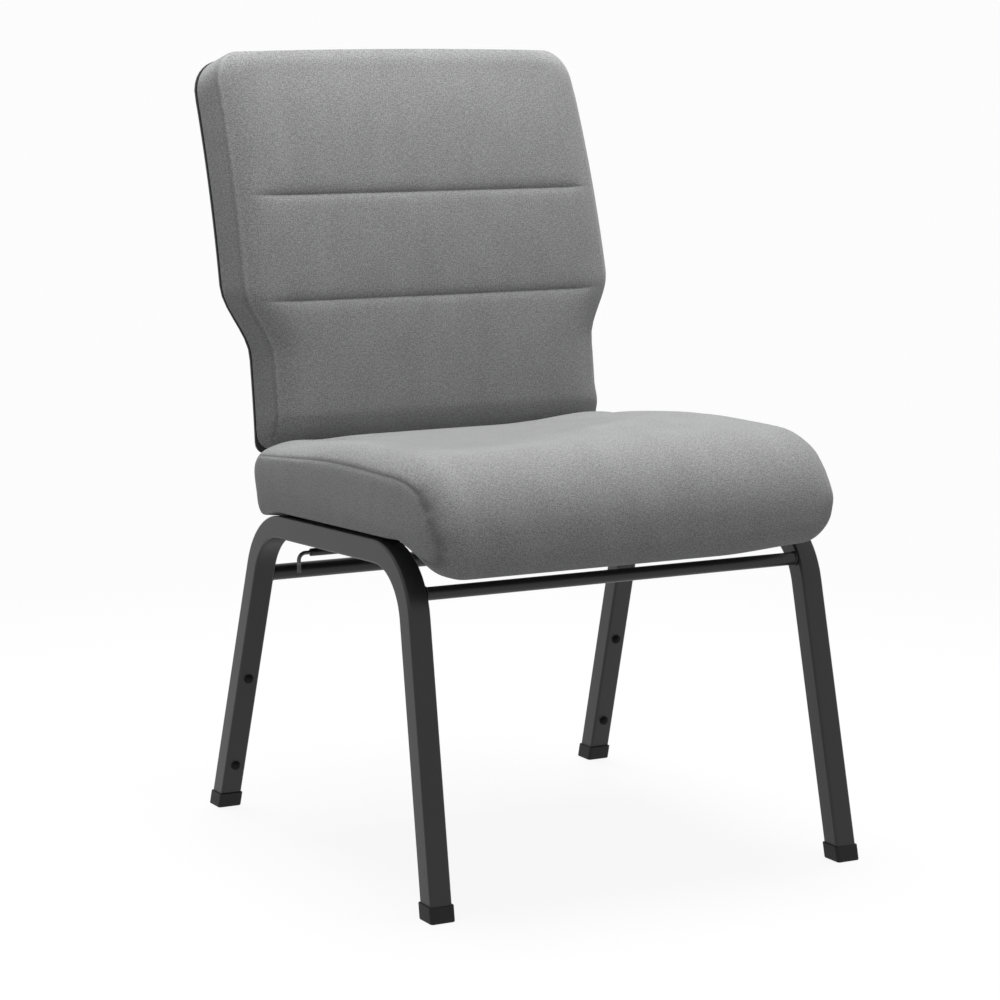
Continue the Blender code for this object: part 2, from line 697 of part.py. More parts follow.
def build_seat(seat):
    """Board, foam, cloth cover, dust cover and fasteners of the seat."""
    holes = group(lambda: rod(SCREW_DIAMETER + 2 * HOLE_CLEARANCE, -2 * STRAP_THICKNESS, 2 * SEAT_BOARD),
                  seat_screw_places(STRAP_TOP))
    hole_tool = cutter("seat_screw_holes", holes, seat)
    build_straps(seat)

    open_ends = 3
    skin = open_cover(seat_rings(), open_ends, SEAT_SECTIONS - 1 - open_ends)
    thicken(piece("seat_cover", skin, "fabric", seat), FABRIC)

    board_half = SEAT_HALF_WIDTH - COVER_INSET - SEAT_BASE_EDGE_ROUND
    board_size = (2 * board_half, SEAT_BOARD_REAR_Y - SEAT_BOARD_FRONT_Y, SEAT_BOARD)
    board_y = (SEAT_BOARD_REAR_Y + SEAT_BOARD_FRONT_Y) / 2
    board = piece("seat_board", box(board_size), "plywood", seat,
                  (0, board_y, BOARD_BASE + SEAT_BOARD / 2))
    cut(board, hole_tool)
    board_top = BOARD_BASE + SEAT_BOARD
    length = board_top - STRAP_BASE - SCREW_END_GAP
    place_screws("seat_screw", seat_screw_places(STRAP_BASE - CLEARANCE),
                 lambda: screw(SCREW_DIAMETER, SCREW_HEAD_DIAMETER, SCREW_HEAD_HEIGHT, length), seat)

    dust_size = (board_size[0] - 2 * DUST_MARGIN, board_size[1] - DUST_MARGIN, DUST_COVER)
    dust = piece("seat_dust_cover", box(dust_size), "lining", seat,
                 (0, board_y, DUST_BASE + DUST_COVER / 2))
    cut(dust, hole_tool)

    foam = piece("seat_foam", shrink(loft(seat_rings()), COVER_INSET), "foam", seat)
    pocket_low = BOARD_BASE - SEAT_NOSE_DROP / 2
    pocket_height = board_top + CLEARANCE - pocket_low
    pocket = box((2 * SEAT_HALF_WIDTH + SEAT_HEM, board_size[1] + 2 * FABRIC_CLEARANCE, pocket_height))
    cut(foam, cutter("seat_board_pocket", pocket, seat, (0, board_y, pocket_low + pocket_height / 2)))


def back_rings():
    """Sections of the back pad, from its bottom to its top."""
    lines = []
    for out, radius, reach in ((BACK_COVER_REAR, BACK_REAR_ROUND, BACK_REAR_REACH),
                               (BACK_DEPTH, BACK_FRONT_ROUND, -BACK_FRONT_REACH)):
        start = out + reach
        path = rounded_path([
            (back_along(BACK_BOTTOM, start), start, 0),
            (back_along(BACK_BOTTOM, out), out, radius),
            (back_along(BACK_TOP, out), out, radius),
            (back_along(BACK_TOP, start), start, 0),
        ])
        spots = resample(path, end_spacing(BACK_SECTIONS))
        lines.append([Vector(back_point(*spot)) for spot in spots])
    widths = [back_half_width((rear.y + front.y) / 2, BACK_BOTTOM) - SHELL_LAP
              for rear, front in zip(*lines)]
    return pad_rings(*lines, widths, BACK_REAR_ROUND, BACK_SIDE_ROUND, BACK_CROWN, BACK_HEM,
                     BACK_TAPER)


def back_panel(rear, front, bottom, top, width_at):
    """Bent board or shell between two layers of the back."""
    rear_line = []
    front_line = []
    widths = []
    for share in end_spacing(BACK_SECTIONS):
        height = bottom + (top - bottom) * share
        rear_line.append(Vector(back_point(back_along(height, rear), rear)))
        front_line.append(Vector(back_point(back_along(height, front), front)))
        widths.append(width_at(height))
    return loft(panel_rings(rear_line, front_line, widths))


def back_frame(x, height, out):
    """Placing matrix on the back: +Z points out towards the sitter."""
    y, z = back_point(back_along(height, out), out)
    angle = back_along(height, out) / BACK_RADIUS
    return Matrix.Translation((x, y, z)) @ Matrix.Rotation(math.pi / 2 - angle, 4, "X")


def back_screw_places(out):
    """Placing matrices of the board screws on a layer of the back."""
    return [back_frame(x, height, out)
            for height in TIE_HEIGHTS.values() for x in (-BACK_SCREW_X, BACK_SCREW_X)]


def build_uprights(chair):
    """Flat tubes that carry the back, with the tie bars between them."""
    centre = SHELL + CLEARANCE + UPRIGHT_THICKNESS / 2
    front = (UPRIGHT_FRONT_Y, upright_run_height(UPRIGHT_FRONT_Y), 0)
    heel = (UPRIGHT_HEEL_Y, upright_run_height(UPRIGHT_HEEL_Y), UPRIGHT_HEEL_RADIUS)
    neck_along = back_along(BACK_BOTTOM, centre)
    top_along = back_along(UPRIGHT_TOP, centre)
    steps = range(1, UPRIGHT_ARC_STEPS + 1)
    arc = [back_point(neck_along + (top_along - neck_along) * i / UPRIGHT_ARC_STEPS, centre)
           for i in steps]
    neck = (*back_point(neck_along, centre), UPRIGHT_NECK_RADIUS)
    path = rounded_path([front, heel, neck, (*arc[0], 0)])
    path += [Vector(spot) for spot in arc[1:]]
    shell_tool = bpy.data.objects["shell_screw_holes"]
    for name, sign in (("left", 1), ("right", -1)):
        mesh = bent_tube(path, UPRIGHT_WIDTH, UPRIGHT_THICKNESS, UPRIGHT_CORNER, UPRIGHT_WALL)
        upright = piece(f"back_upright_{name}", mesh, "frame", chair, (sign * UPRIGHT_X, 0, 0))
        cut(upright, shell_tool)

    tie_length = 2 * (UPRIGHT_X - UPRIGHT_WIDTH / 2 - CLEARANCE)
    tie_tool = bpy.data.objects["back_screw_holes"]
    for name, height in TIE_HEIGHTS.items():
        place = back_frame(0, height, UPRIGHT_FRONT - TIE_THICKNESS / 2)
        tie = piece(f"back_tie_{name}", box((tie_length, TIE_WIDTH, TIE_THICKNESS)), "frame", chair)
        tie.matrix_basis = place
        cut(tie, tie_tool)


def build_back(chair):
    """Board, foam, cloth cover, outer shell and fasteners of the back."""
    tie_rear = UPRIGHT_FRONT - TIE_THICKNESS
    hole_diameter = SCREW_DIAMETER + 2 * HOLE_CLEARANCE
    hole_length = TIE_THICKNESS + 2 * BACK_BOARD
    holes = group(lambda: rod(hole_diameter, -SCREW_HEAD_HEIGHT, hole_length),
                  back_screw_places(tie_rear))
    hole_tool = cutter("back_screw_holes", holes, chair)
    shell_hole = SHELL_SCREW_DIAMETER + 2 * HOLE_CLEARANCE
    shell_places = [back_frame(x, height, 0.0)
                    for height in SHELL_SCREW_HEIGHTS for x in (-UPRIGHT_X, UPRIGHT_X)]
    shell_depth = SHELL + UPRIGHT_WALL + 2 * CLEARANCE
    shell_holes = group(lambda: rod(shell_hole, -SHELL, shell_depth), shell_places)
    shell_tool = cutter("shell_screw_holes", shell_holes, chair)
    build_uprights(chair)

    shell_mesh = back_panel(0.0, SHELL, SHELL_BOTTOM, BACK_TOP,
                            lambda height: back_half_width(height, SHELL_BOTTOM))
    shell = piece("back_shell", shell_mesh, "shell", chair)
    cut(shell, shell_tool)
    place_screws("shell_screw",
                 [place @ Matrix.Translation((0, 0, -CLEARANCE)) for place in shell_places],
                 lambda: screw(SHELL_SCREW_DIAMETER, SHELL_SCREW_HEAD_DIAMETER,
                               SHELL_SCREW_HEAD_HEIGHT, SHELL_SCREW_LENGTH), chair)

    margin = BACK_BOARD_MARGIN
    board_mesh = back_panel(BACK_BOARD_REAR, BACK_BOARD_FRONT, BACK_BOTTOM + margin, BACK_TOP - margin,
                            lambda height: back_half_width(height, BACK_BOTTOM) - margin)
    board = piece("back_board", board_mesh, "plywood", chair)
    cut(board, hole_tool)
    length = BACK_BOARD_FRONT - tie_rear - SCREW_END_GAP
    place_screws("back_screw", back_screw_places(tie_rear - CLEARANCE),
                 lambda: screw(SCREW_DIAMETER, SCREW_HEAD_DIAMETER, SCREW_HEAD_HEIGHT, length), chair)

    neck = back_point(back_along(BACK_BOTTOM, 0.0), 0.0)
    cover = piece("back_cover", open_cover(back_rings(), 0, BACK_SECTIONS - 1), "fabric", chair)
    thicken(cover, FABRIC)
    notch_depth = UPRIGHT_FRONT + NECK_ROOM
    notch_size = (UPRIGHT_WIDTH + 2 * UPRIGHT_NOTCH, 2 * notch_depth, UPRIGHT_WIDTH)
    notches = group(lambda: box(notch_size), [Matrix.Translation((sign * UPRIGHT_X, *neck))
                                              for sign in (-1, 1)])
    cut(cover, cutter("upright_notches", notches, chair))
    foam = piece("back_foam", shrink(loft(back_rings()), COVER_INSET), "foam", chair)
    room = back_panel(-BACK_DEPTH, BACK_BOARD_FRONT + CLEARANCE, BACK_BOTTOM - BACK_DEPTH,
                      BACK_TOP + BACK_DEPTH, lambda height: 2 * SHOULDER_HALF_WIDTH)
    cut(foam, cutter("back_board_room", room, chair))


def build_ganging(chair):
    """Sliding wire hook and its guide on the right, catch for the next chair on the left."""
    run_base = upright_run_height(HOOK_Y + GUIDE_SLEEVE / 2)
    run_base -= UPRIGHT_THICKNESS / 2 / math.cos(RAIL_PITCH)
    bore = WIRE + 2 * HOLE_CLEARANCE
    top = run_base - CLEARANCE
    high = top - GUIDE_HANGER_LENGTH
    low = high - GUIDE_SLEEVE
    hook_height = high - GUIDE_SLEEVE / 2
    hanger = GUIDE_INNER_X - GUIDE_HANGER
    outline = [(GUIDE_OUTER_X, low), (GUIDE_INNER_X, low), (GUIDE_INNER_X, top), (hanger, top),
               (hanger, high), (GUIDE_OUTER_X, high)]
    half = GUIDE_SLEEVE / 2
    mesh = loft([[Vector((x, y, z)) for x, z in outline] for y in (HOOK_Y - half, HOOK_Y + half)])
    guide = piece("ganging_guide", mesh, "frame", chair)
    reach = GUIDE_INNER_X - GUIDE_OUTER_X
    bore_mesh = rod(bore, -reach, reach)
    middle = ((GUIDE_INNER_X + GUIDE_OUTER_X) / 2, HOOK_Y, hook_height)
    cut(guide, cutter("guide_bore", bore_mesh, chair, middle, (0, math.pi / 2, 0)))

    stop_x = GUIDE_INNER_X + HOOK_TRAVEL + HOOK_STOP_GAP + WIRE / 2 + HOOK_BEND
    path = rounded_path([
        (HOOK_TIP_X, hook_height - HOOK_DROP, 0),
        (HOOK_TIP_X, hook_height, HOOK_BEND),
        (stop_x, hook_height, HOOK_BEND),
        (stop_x, hook_height + HOOK_STOP_RISE, 0),
    ])
    wire = bpy.data.curves.new("ganging_hook", "CURVE")
    wire.dimensions = "3D"
    wire.bevel_depth = WIRE / 2
    wire.bevel_resolution = 2
    wire.use_fill_caps = True
    spline = wire.splines.new("POLY")
    spline.points.add(len(path) - 1)
    for knot, spot in zip(spline.points, path):
        knot.co = (spot.x - middle[0], 0.0, spot.y - middle[2], 1.0)
    wire.materials.append(finish_of("wire"))
    hook = bpy.data.objects.new("ganging_hook", wire)
    bpy.context.scene.collection.objects.link(hook)
    hook.parent = chair
    hook.location = middle

    rail_base = rail_line(HOOK_Y) - TUBE / 2
    weld_top = rail_base + CATCH_WELD
    face = frame_x(weld_top) - TUBE / 2 / math.cos(FRAME_LEAN) - CLEARANCE
    plate_top = hook_height - WIRE / 2 - CATCH_DROP
    plate_low = plate_top - CATCH_THICKNESS
    inner = face - CATCH_THICKNESS
    bracket = [(inner, plate_low), (inner + CATCH_REACH, plate_low), (inner + CATCH_REACH, plate_top),
               (face, plate_top), (face, weld_top), (inner, weld_top)]
    catch_ys = (HOOK_Y - CATCH_DEPTH / 2, HOOK_Y + CATCH_DEPTH / 2)
    mesh = loft([[Vector((x, y, z)) for x, z in bracket] for y in catch_ys])
    catch = piece("ganging_catch", mesh, "frame", chair)
    slot_x = inner + CATCH_THICKNESS + (CATCH_REACH - CATCH_THICKNESS) / 2
    slot = box((*CATCH_SLOT, 3 * CATCH_THICKNESS))
    cut(catch, cutter("catch_slot", slot, chair, (slot_x, HOOK_Y, plate_low + CATCH_THICKNESS / 2)))


def main():
    """Build the chair in an empty scene."""
    for item in list(bpy.data.objects):
        bpy.data.objects.remove(item)
    cap_front = FRONT_FOOT_Y - TUBE / 2 / math.cos(FRONT_RAKE) - CLEARANCE - CAP_WALL
    shell_rear = back_point(back_along(BACK_TOP, 0.0), 0.0)[0]
    chair = empty("chair", None, (0, -(cap_front + shell_rear) / 2, 0))
    build_side("left", 1, chair)
    build_side("right", -1, chair)
    front_bar_y = FRONT_FOOT_Y + FRONT_BAR_HEIGHT * math.tan(FRONT_RAKE)
    rear_bar_y = REAR_FOOT_Y - REAR_BAR_HEIGHT * math.tan(REAR_RAKE)
    build_crossbar("front_crossbar", FRONT_BAR_DIAMETER, FRONT_BAR_HEIGHT, front_bar_y, chair)
    build_crossbar("rear_crossbar", REAR_BAR_DIAMETER, REAR_BAR_HEIGHT, rear_bar_y, chair)
    seat = empty("seat_plane", chair, (0, 0, RAIL_TOP), (-RAIL_PITCH, 0, 0))
    build_seat(seat)
    build_back(chair)
    build_ganging(chair)


main()
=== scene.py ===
"""Looks of an upholstered stacking conference chair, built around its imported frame.

Metres, +Z up, the sitter faces -Y and +X is the sitter's left.
"""

import json
import logging
import math
from dataclasses import dataclass, field, replace
from enum import Enum
from typing import Callable, ClassVar, Sequence

import bmesh
import bpy
import numpy as np
from bmesh.types import BMEdge, BMesh, BMFace, BMLayerItem, BMVert
from mathutils import Matrix, Vector, kdtree, noise

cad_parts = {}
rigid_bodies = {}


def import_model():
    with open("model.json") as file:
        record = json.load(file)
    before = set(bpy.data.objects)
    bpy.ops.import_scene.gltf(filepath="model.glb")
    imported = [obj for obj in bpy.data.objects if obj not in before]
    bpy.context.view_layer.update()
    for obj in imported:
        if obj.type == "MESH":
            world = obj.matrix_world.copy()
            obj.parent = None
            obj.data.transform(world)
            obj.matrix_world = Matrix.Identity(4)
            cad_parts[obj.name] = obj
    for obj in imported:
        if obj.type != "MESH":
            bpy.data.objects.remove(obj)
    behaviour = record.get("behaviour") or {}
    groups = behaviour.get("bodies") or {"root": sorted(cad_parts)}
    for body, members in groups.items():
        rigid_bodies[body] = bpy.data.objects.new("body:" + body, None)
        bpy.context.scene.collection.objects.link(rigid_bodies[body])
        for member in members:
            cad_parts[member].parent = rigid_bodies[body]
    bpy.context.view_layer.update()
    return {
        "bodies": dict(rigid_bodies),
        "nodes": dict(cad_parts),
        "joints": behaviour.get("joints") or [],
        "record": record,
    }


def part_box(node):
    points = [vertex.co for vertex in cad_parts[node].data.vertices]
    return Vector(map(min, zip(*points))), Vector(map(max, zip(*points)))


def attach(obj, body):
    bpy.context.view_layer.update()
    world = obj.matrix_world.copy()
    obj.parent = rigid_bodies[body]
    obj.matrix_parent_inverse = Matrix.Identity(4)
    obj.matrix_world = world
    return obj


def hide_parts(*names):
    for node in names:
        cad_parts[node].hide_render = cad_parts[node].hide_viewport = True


LOG = logging.getLogger("conference_chair")
Colour = tuple[float, float, float]
Point2 = tuple[float, float]
Pair = tuple[float, float]
Point3 = tuple[float, float, float]
QUARTER = math.pi / 2


class Slot(Enum):
    """Finish slots of the part's record; each finish names one."""

    FRAME = "frame"
    CAP = "foot_cap"
    BUMPER = "bumper"
    FABRIC = "fabric"
    PLYWOOD = "plywood"
    LINING = "lining"
    SHELL = "shell"
    WIRE = "wire"
    SCREW = "screw"


class Body(Enum):
    """Moving bodies of the chair."""

    CHAIR = "chair"
    HOOK = "hook"


class Side(Enum):
    """Sides of the chair as the sitter names them; the value is the sign of x."""

    LEFT = 1
    RIGHT = -1

    @property
    def label(self) -> str:
        """Lower-case name of the side."""
        return self.name.lower()


# Shader graph


def operator(operation: str, swapped: bool = False) -> Callable[["Wire", "Value"], "Wire"]:
    """Method that adds a Math node on a wire and another value.

    Args:
        operation: The node's operation.
        swapped: Whether the other value comes first, as in the reflected forms.

    Returns:
        The method.
    """
    def method(self: "Wire", other: "Value") -> "Wire":
        """Add the Math node."""
        first, second = (other, self) if swapped else (self, other)
        return self.graph.add("ShaderNodeMath", {"operation": operation}, {0: first, 1: second})
    return method


class Wire:
    """A shader value that takes arithmetic; each operation adds one Math node."""

    def __init__(self, graph: "Graph", socket: bpy.types.NodeSocket | None) -> None:
        """Wrap an output socket of a graph."""
        self.graph = graph
        self.socket = socket

    __add__, __radd__ = operator("ADD"), operator("ADD", swapped=True)
    __sub__, __rsub__ = operator("SUBTRACT"), operator("SUBTRACT", swapped=True)
    __mul__, __rmul__ = operator("MULTIPLY"), operator("MULTIPLY", swapped=True)
    at_least = operator("MAXIMUM")

    def sine(self) -> "Wire":
        """Sine of the value."""
        return self.graph.add("ShaderNodeMath", {"operation": "SINE"}, {0: self})

    def ramp(self, low: float, high: float) -> "Wire":
        """Smooth step from 0 at low to 1 at high."""
        return self.graph.add("ShaderNodeMapRange", {"interpolation_type": "SMOOTHSTEP", "clamp": True},
                              {"Value": self, "From Min": low, "From Max": high})


Value = Wire | float


class Graph:
    """Node tree of one material."""

    def __init__(self, tree: bpy.types.NodeTree) -> None:
        """Start from an empty tree."""
        self.tree = tree
        tree.nodes.clear()

    def add(self, kind: str, settings: dict | None = None, inputs: dict | None = None,
            output: int | str = 0) -> Wire:
        """Add a node.

        Args:
            kind: Node type.
            settings: Node properties, set first.
            inputs: Values or wires by socket name or number.
            output: Output socket to return.

        Returns:
            The chosen output.
        """
        node = self.tree.nodes.new(kind)
        for key, value in (settings or {}).items():
            setattr(node, key, value)
        for key, value in (inputs or {}).items():
            if isinstance(value, Wire):
                self.tree.links.new(value.socket, node.inputs[key])
            else:
                node.inputs[key].default_value = value
        return Wire(self, node.outputs[output] if node.outputs else None)

    def place(self) -> Wire:
        """Object coordinates, in metres."""
        return self.add("ShaderNodeTexCoord", output="Object")

    def axis(self, vector: Wire, letter: str) -> Wire:
        """One axis of a vector."""
        return self.add("ShaderNodeSeparateXYZ", None, {0: vector}, letter)

    def shown(self) -> Wire:
        """1 for a ray from the camera, a reflection or a refraction, and 0 for one that only lights.

        Returns:
            The share.
        """
        kinds = ("Camera", "Glossy", "Transmission")
        camera, gloss, glass = (self.add("ShaderNodeLightPath", output=f"Is {kind} Ray") for kind in kinds)
        return camera.at_least(gloss).at_least(glass)

    def scaled(self, vector: Wire, scale: Point3) -> Wire:
        """A vector times a scale per axis."""
        return self.add("ShaderNodeVectorMath", {"operation": "MULTIPLY"}, {0: vector, 1: scale})

    def grain(self, vector: Wire, scale: float, detail: float = 2.0, roughness: float = 0.5) -> Wire:
        """Noise from 0 to 1; the scale is in grains per metre."""
        return self.add("ShaderNodeTexNoise", None,
                        {"Vector": vector, "Scale": scale, "Detail": detail, "Roughness": roughness})

    def blend(self, share: Value, first: "Wire | Colour", second: "Wire | Colour") -> Wire:
        """Mix of two colours."""
        colours = [c if isinstance(c, Wire) else (*c, 1.0) for c in (first, second)]
        return self.add("ShaderNodeMix", {"data_type": "RGBA"}, {0: share, 6: colours[0], 7: colours[1]}, 2)

    def bump(self, height: Wire, depth: float, strength: float = 1.0) -> Wire:
        """Normal from a height, whose full range is the depth in metres."""
        return self.add("ShaderNodeBump", None, {"Strength": strength, "Distance": depth, "Height": height})

    def surface(self, **sockets: "Wire | float | Colour") -> None:
        """Close the tree with the main shader; keys are socket names with _ for a space.

        Args:
            sockets: Values, colours or wires.
        """
        inputs = {key.replace("_", " "): value for key, value in sockets.items()}
        for key, value in inputs.items():
            if isinstance(value, tuple):
                inputs[key] = (*value, 1.0)
        shader = self.add("ShaderNodeBsdfPrincipled", None, inputs)
        self.add("ShaderNodeOutputMaterial", None, {"Surface": shader})


class Finish:
    """A surface finish whose material is made once and shared."""

    name: ClassVar[str]
    slot: ClassVar[Slot]

    def paint(self, graph: Graph) -> None:
        """Fill the material's node tree."""
        raise NotImplementedError

    def material(self) -> bpy.types.Material:
        """The finish's material.

        Returns:
            The material, shared by all pieces with this finish.
        """
        made = bpy.data.materials.get(self.name)
        if made is None:
            made = bpy.data.materials.new(self.name)
            made.use_nodes = True
            self.paint(Graph(made.node_tree))
        return made


@dataclass(frozen=True)
class PowderCoat(Finish):
    """Satin black powder coat on steel, rubbed a little near the floor."""

    name: ClassVar[str] = "black_powder_coat"
    slot: ClassVar[Slot] = Slot.FRAME
    colour: Colour = (0.0155, 0.0155, 0.0165)
    rubbed: Colour = (0.030, 0.030, 0.031)

    def paint(self, graph: Graph) -> None:
        """Orange-peel skin, faint cloudiness and scuffs low on the legs.

        Args:
            graph: The material's nodes.
        """
        place = graph.place()
        peel = graph.grain(place, 650.0, 2.0)
        cloud = graph.grain(place, 18.0, 3.0)
        height = graph.axis(place, "Z")
        scratch = graph.grain(graph.scaled(place, (1.0, 1.0, 0.12)), 420.0, 4.0, 0.65).ramp(0.60, 0.74)
        scuff = (1.0 - height.ramp(0.02, 0.16)) * scratch * 0.6
        colour = graph.blend(cloud * 0.35 + scuff, self.colour, self.rubbed)
        graph.surface(Base_Color=colour, Roughness=0.34 + peel * 0.10 + scuff * 0.2,
                      Normal=graph.bump(peel, 0.00010), Specular_IOR_Level=0.42)


@dataclass(frozen=True)
class WovenCloth(Finish):
    """Heather grey upholstery cloth; its map is in metres along the two yarns."""

    name: ClassVar[str] = "heather_grey_cloth"
    slot: ClassVar[Slot] = Slot.FABRIC
    dark: Colour = (0.200, 0.201, 0.203)
    light: Colour = (0.425, 0.426, 0.428)
    # Colours of the painted shade in the seams and of the painted highlight beside the back's boxing seam.
    crease: Colour = (0.050, 0.050, 0.051)
    lip: Colour = (0.620, 0.621, 0.623)
    pitch: float = 0.0014

    def paint(self, graph: Graph) -> None:
        """Plain weave of uneven yarns with flecks and a slightly brushed face; painted seam shade and
        highlight.

        Args:
            graph: The material's nodes.
        """
        cloth = graph.add("ShaderNodeUVMap", {"uv_map": "cloth"})
        turn = math.tau / self.pitch
        across, along = (graph.axis(cloth, letter) * turn for letter in "XY")
        over = across.sine() * along.sine() * 0.5 + 0.5
        yarn = 1.0 / self.pitch
        warp = graph.grain(graph.scaled(cloth, (yarn, 210.0, 1.0)), 1.0, 2.0, 0.6)
        weft = graph.grain(graph.scaled(cloth, (210.0, yarn, 1.0)), 1.0, 2.0, 0.6)
        tone = warp * over + weft * (1.0 - over)
        fleck = graph.grain(cloth, 700.0, 2.0, 0.6)
        brushed = graph.grain(graph.scaled(cloth, (1.0, 0.45, 1.0)), 30.0, 4.0, 0.6)
        share = 0.5 + (tone - 0.5) * 1.4 + (fleck - 0.5) * 1.7 + (brushed - 0.5) * 0.26
        # The seam attribute holds painted light: above 0 it is painted shade (seams, seat hollow), below 0 a
        # painted highlight.
        seam = graph.add("ShaderNodeAttribute", {"attribute_name": "seam"}, output="Fac")
        colour = graph.blend(share.ramp(0.05, 0.95), self.dark, self.light)
        colour = graph.blend(seam * 0.75, colour, self.crease)
        colour = graph.blend((seam * -1.0).at_least(0.0), colour, self.lip)
        height = over * 0.6 + fleck * 0.9
        graph.surface(Base_Color=colour, Roughness=0.86 + fleck * 0.12,
                      Normal=graph.bump(height, 0.0004, 0.75), Sheen_Weight=0.30, Sheen_Roughness=0.42,
                      Specular_IOR_Level=0.25)


@dataclass(frozen=True)
class TipPlastic(Finish):
    """Dull black plastic of the foot tips, scratched at the base."""

    name: ClassVar[str] = "foot_tip_plastic"
    slot: ClassVar[Slot] = Slot.CAP
    colour: Colour = (0.006, 0.006, 0.006)
    worn: Colour = (0.030, 0.030, 0.029)

    def paint(self, graph: Graph) -> None:
        """Fine moulded skin with wear near the floor.

        Args:
            graph: The material's nodes.
        """
        place = graph.place()
        skin = graph.grain(place, 1400.0, 2.0)
        height = graph.axis(place, "Z")
        wear = (1.0 - height.ramp(0.0, 0.006)) * graph.grain(place, 380.0, 4.0).ramp(0.45, 0.7)
        graph.surface(Base_Color=graph.blend(wear, self.colour, self.worn), Roughness=0.48 + skin * 0.2,
                      Normal=graph.bump(skin, 0.00012), Specular_IOR_Level=0.28)


@dataclass(frozen=True)
class ShellPlastic(Finish):
    """Grained black plastic of the outer back."""

    name: ClassVar[str] = "outer_back_plastic"
    slot: ClassVar[Slot] = Slot.SHELL
    colour: Colour = (0.0135, 0.0135, 0.0145)
    rubbed: Colour = (0.024, 0.024, 0.025)

    def paint(self, graph: Graph) -> None:
        """Leather-like moulded grain with polished patches.

        Args:
            graph: The material's nodes.
        """
        place = graph.place()
        cells = graph.add("ShaderNodeTexVoronoi", {"feature": "SMOOTH_F1"},
                          {"Vector": place, "Scale": 620.0, "Smoothness": 0.6})
        cloud = graph.grain(place, 9.0, 4.0)
        fine = graph.grain(place, 1600.0, 2.0)
        graph.surface(Base_Color=graph.blend(cloud.ramp(0.35, 0.75), self.colour, self.rubbed),
                      Roughness=0.40 + cloud * 0.16 + fine * 0.06,
                      Normal=graph.bump(cells * 0.8 + fine * 0.2, 0.00022, 0.8))


@dataclass(frozen=True)
class HookWire(Finish):
    """Dark plated wire of the ganging hook."""

    name: ClassVar[str] = "dark_plated_wire"
    slot: ClassVar[Slot] = Slot.WIRE
    colour: Colour = (0.075, 0.076, 0.078)
    bright: Colour = (0.22, 0.22, 0.22)

    def paint(self, graph: Graph) -> None:
        """Drawn wire with bright rub marks where it slides.

        Args:
            graph: The material's nodes.
        """
        place = graph.place()
        drawn = graph.grain(graph.scaled(place, (0.06, 1.0, 1.0)), 1500.0, 2.0)
        rub = graph.grain(graph.scaled(place, (0.3, 1.0, 1.0)), 260.0, 3.0).ramp(0.52, 0.75)
        graph.surface(Base_Color=graph.blend(rub * 0.6, self.colour, self.bright), Metallic=0.85,
                      Roughness=0.30 + drawn * 0.18, Normal=graph.bump(drawn, 0.00003))


@dataclass(frozen=True)
class Lining(Finish):
    """Black spun lining under the seat."""

    name: ClassVar[str] = "spun_lining"
    slot: ClassVar[Slot] = Slot.LINING
    colour: Colour = (0.012, 0.012, 0.012)
    fibre: Colour = (0.040, 0.040, 0.041)

    def paint(self, graph: Graph) -> None:
        """Bonded fibres with a dotted emboss.

        Args:
            graph: The material's nodes.
        """
        place = graph.place()
        fibres = graph.grain(graph.scaled(place, (1.0, 0.35, 1.0)), 900.0, 4.0, 0.7)
        dots = graph.add("ShaderNodeTexVoronoi", {"feature": "F1"},
                         {"Vector": place, "Scale": 480.0, "Randomness": 0.15}).ramp(0.25, 0.4)
        graph.surface(Base_Color=graph.blend(fibres.ramp(0.35, 0.75), self.colour, self.fibre),
                      Roughness=0.92, Normal=graph.bump(dots * 0.6 + fibres * 0.4, 0.0002))


@dataclass(frozen=True)
class Mottled(Finish):
    """Two colours mixed by one grain, which also shows in the gloss and the skin.

    The roughness is a base and how far the grain raises it. Without a spread the grain mixes evenly.
    """

    name: str
    slot: Slot
    colours: tuple[Colour, Colour]
    scale: float
    roughness: Pair
    detail: float = 3.0
    breakup: float = 0.5
    stretch: Point3 = (1.0, 1.0, 1.0)
    spread: Pair | None = None
    skin: float = 0.0
    metallic: float = 0.0
    specular: float = 0.5

    def paint(self, graph: Graph) -> None:
        """One grain over the whole piece.

        Args:
            graph: The material's nodes.
        """
        grain = graph.grain(graph.scaled(graph.place(), self.stretch), self.scale, self.detail, self.breakup)
        share = grain.ramp(*self.spread) if self.spread else grain
        base, swing = self.roughness
        skin = {"Normal": graph.bump(grain, self.skin)} if self.skin else {}
        graph.surface(Base_Color=graph.blend(share, *self.colours), Roughness=base + grain * swing,
                      Metallic=self.metallic, Specular_IOR_Level=self.specular, **skin)


BUMPER_RUBBER = Mottled("bumper_rubber", Slot.BUMPER, ((0.0035, 0.0035, 0.0035), (0.009, 0.009, 0.009)),
                        300.0, (0.55, 0.25), spread=(0.4, 0.8), skin=0.00008, specular=0.18)
ZINC_PLATE = Mottled("zinc_plate", Slot.SCREW, ((0.52, 0.53, 0.54), (0.33, 0.33, 0.33)), 420.0, (0.28, 0.22),
                     skin=0.00004, metallic=1.0)
BLACK_OXIDE = Mottled("black_oxide", Slot.SCREW, ((0.020, 0.020, 0.021), (0.080, 0.080, 0.082)), 700.0,
                      (0.36, 0.20), spread=(0.5, 0.85), metallic=0.7)
BIRCH_PLYWOOD = Mottled("birch_plywood", Slot.PLYWOOD, ((0.62, 0.47, 0.30), (0.42, 0.28, 0.15)), 130.0,
                        (0.62, 0.20), detail=5.0, breakup=0.6, stretch=(0.06, 1.0, 1.0), spread=(0.3, 0.7),
                        skin=0.0001)


# Mesh helpers


def ease(share: float) -> float:
    """Smooth step of a share from 0 to 1."""
    share = min(max(share, 0.0), 1.0)
    return share * share * (3 - 2 * share)


@dataclass(frozen=True)
class Zone:
    """A stretch over which something grows smoothly from 0 to 1; with a negative run it grows downwards."""

    start: float
    run: float

    def __call__(self, at: float) -> float:
        """Share that is reached at a place."""
        return ease((at - self.start) / self.run)


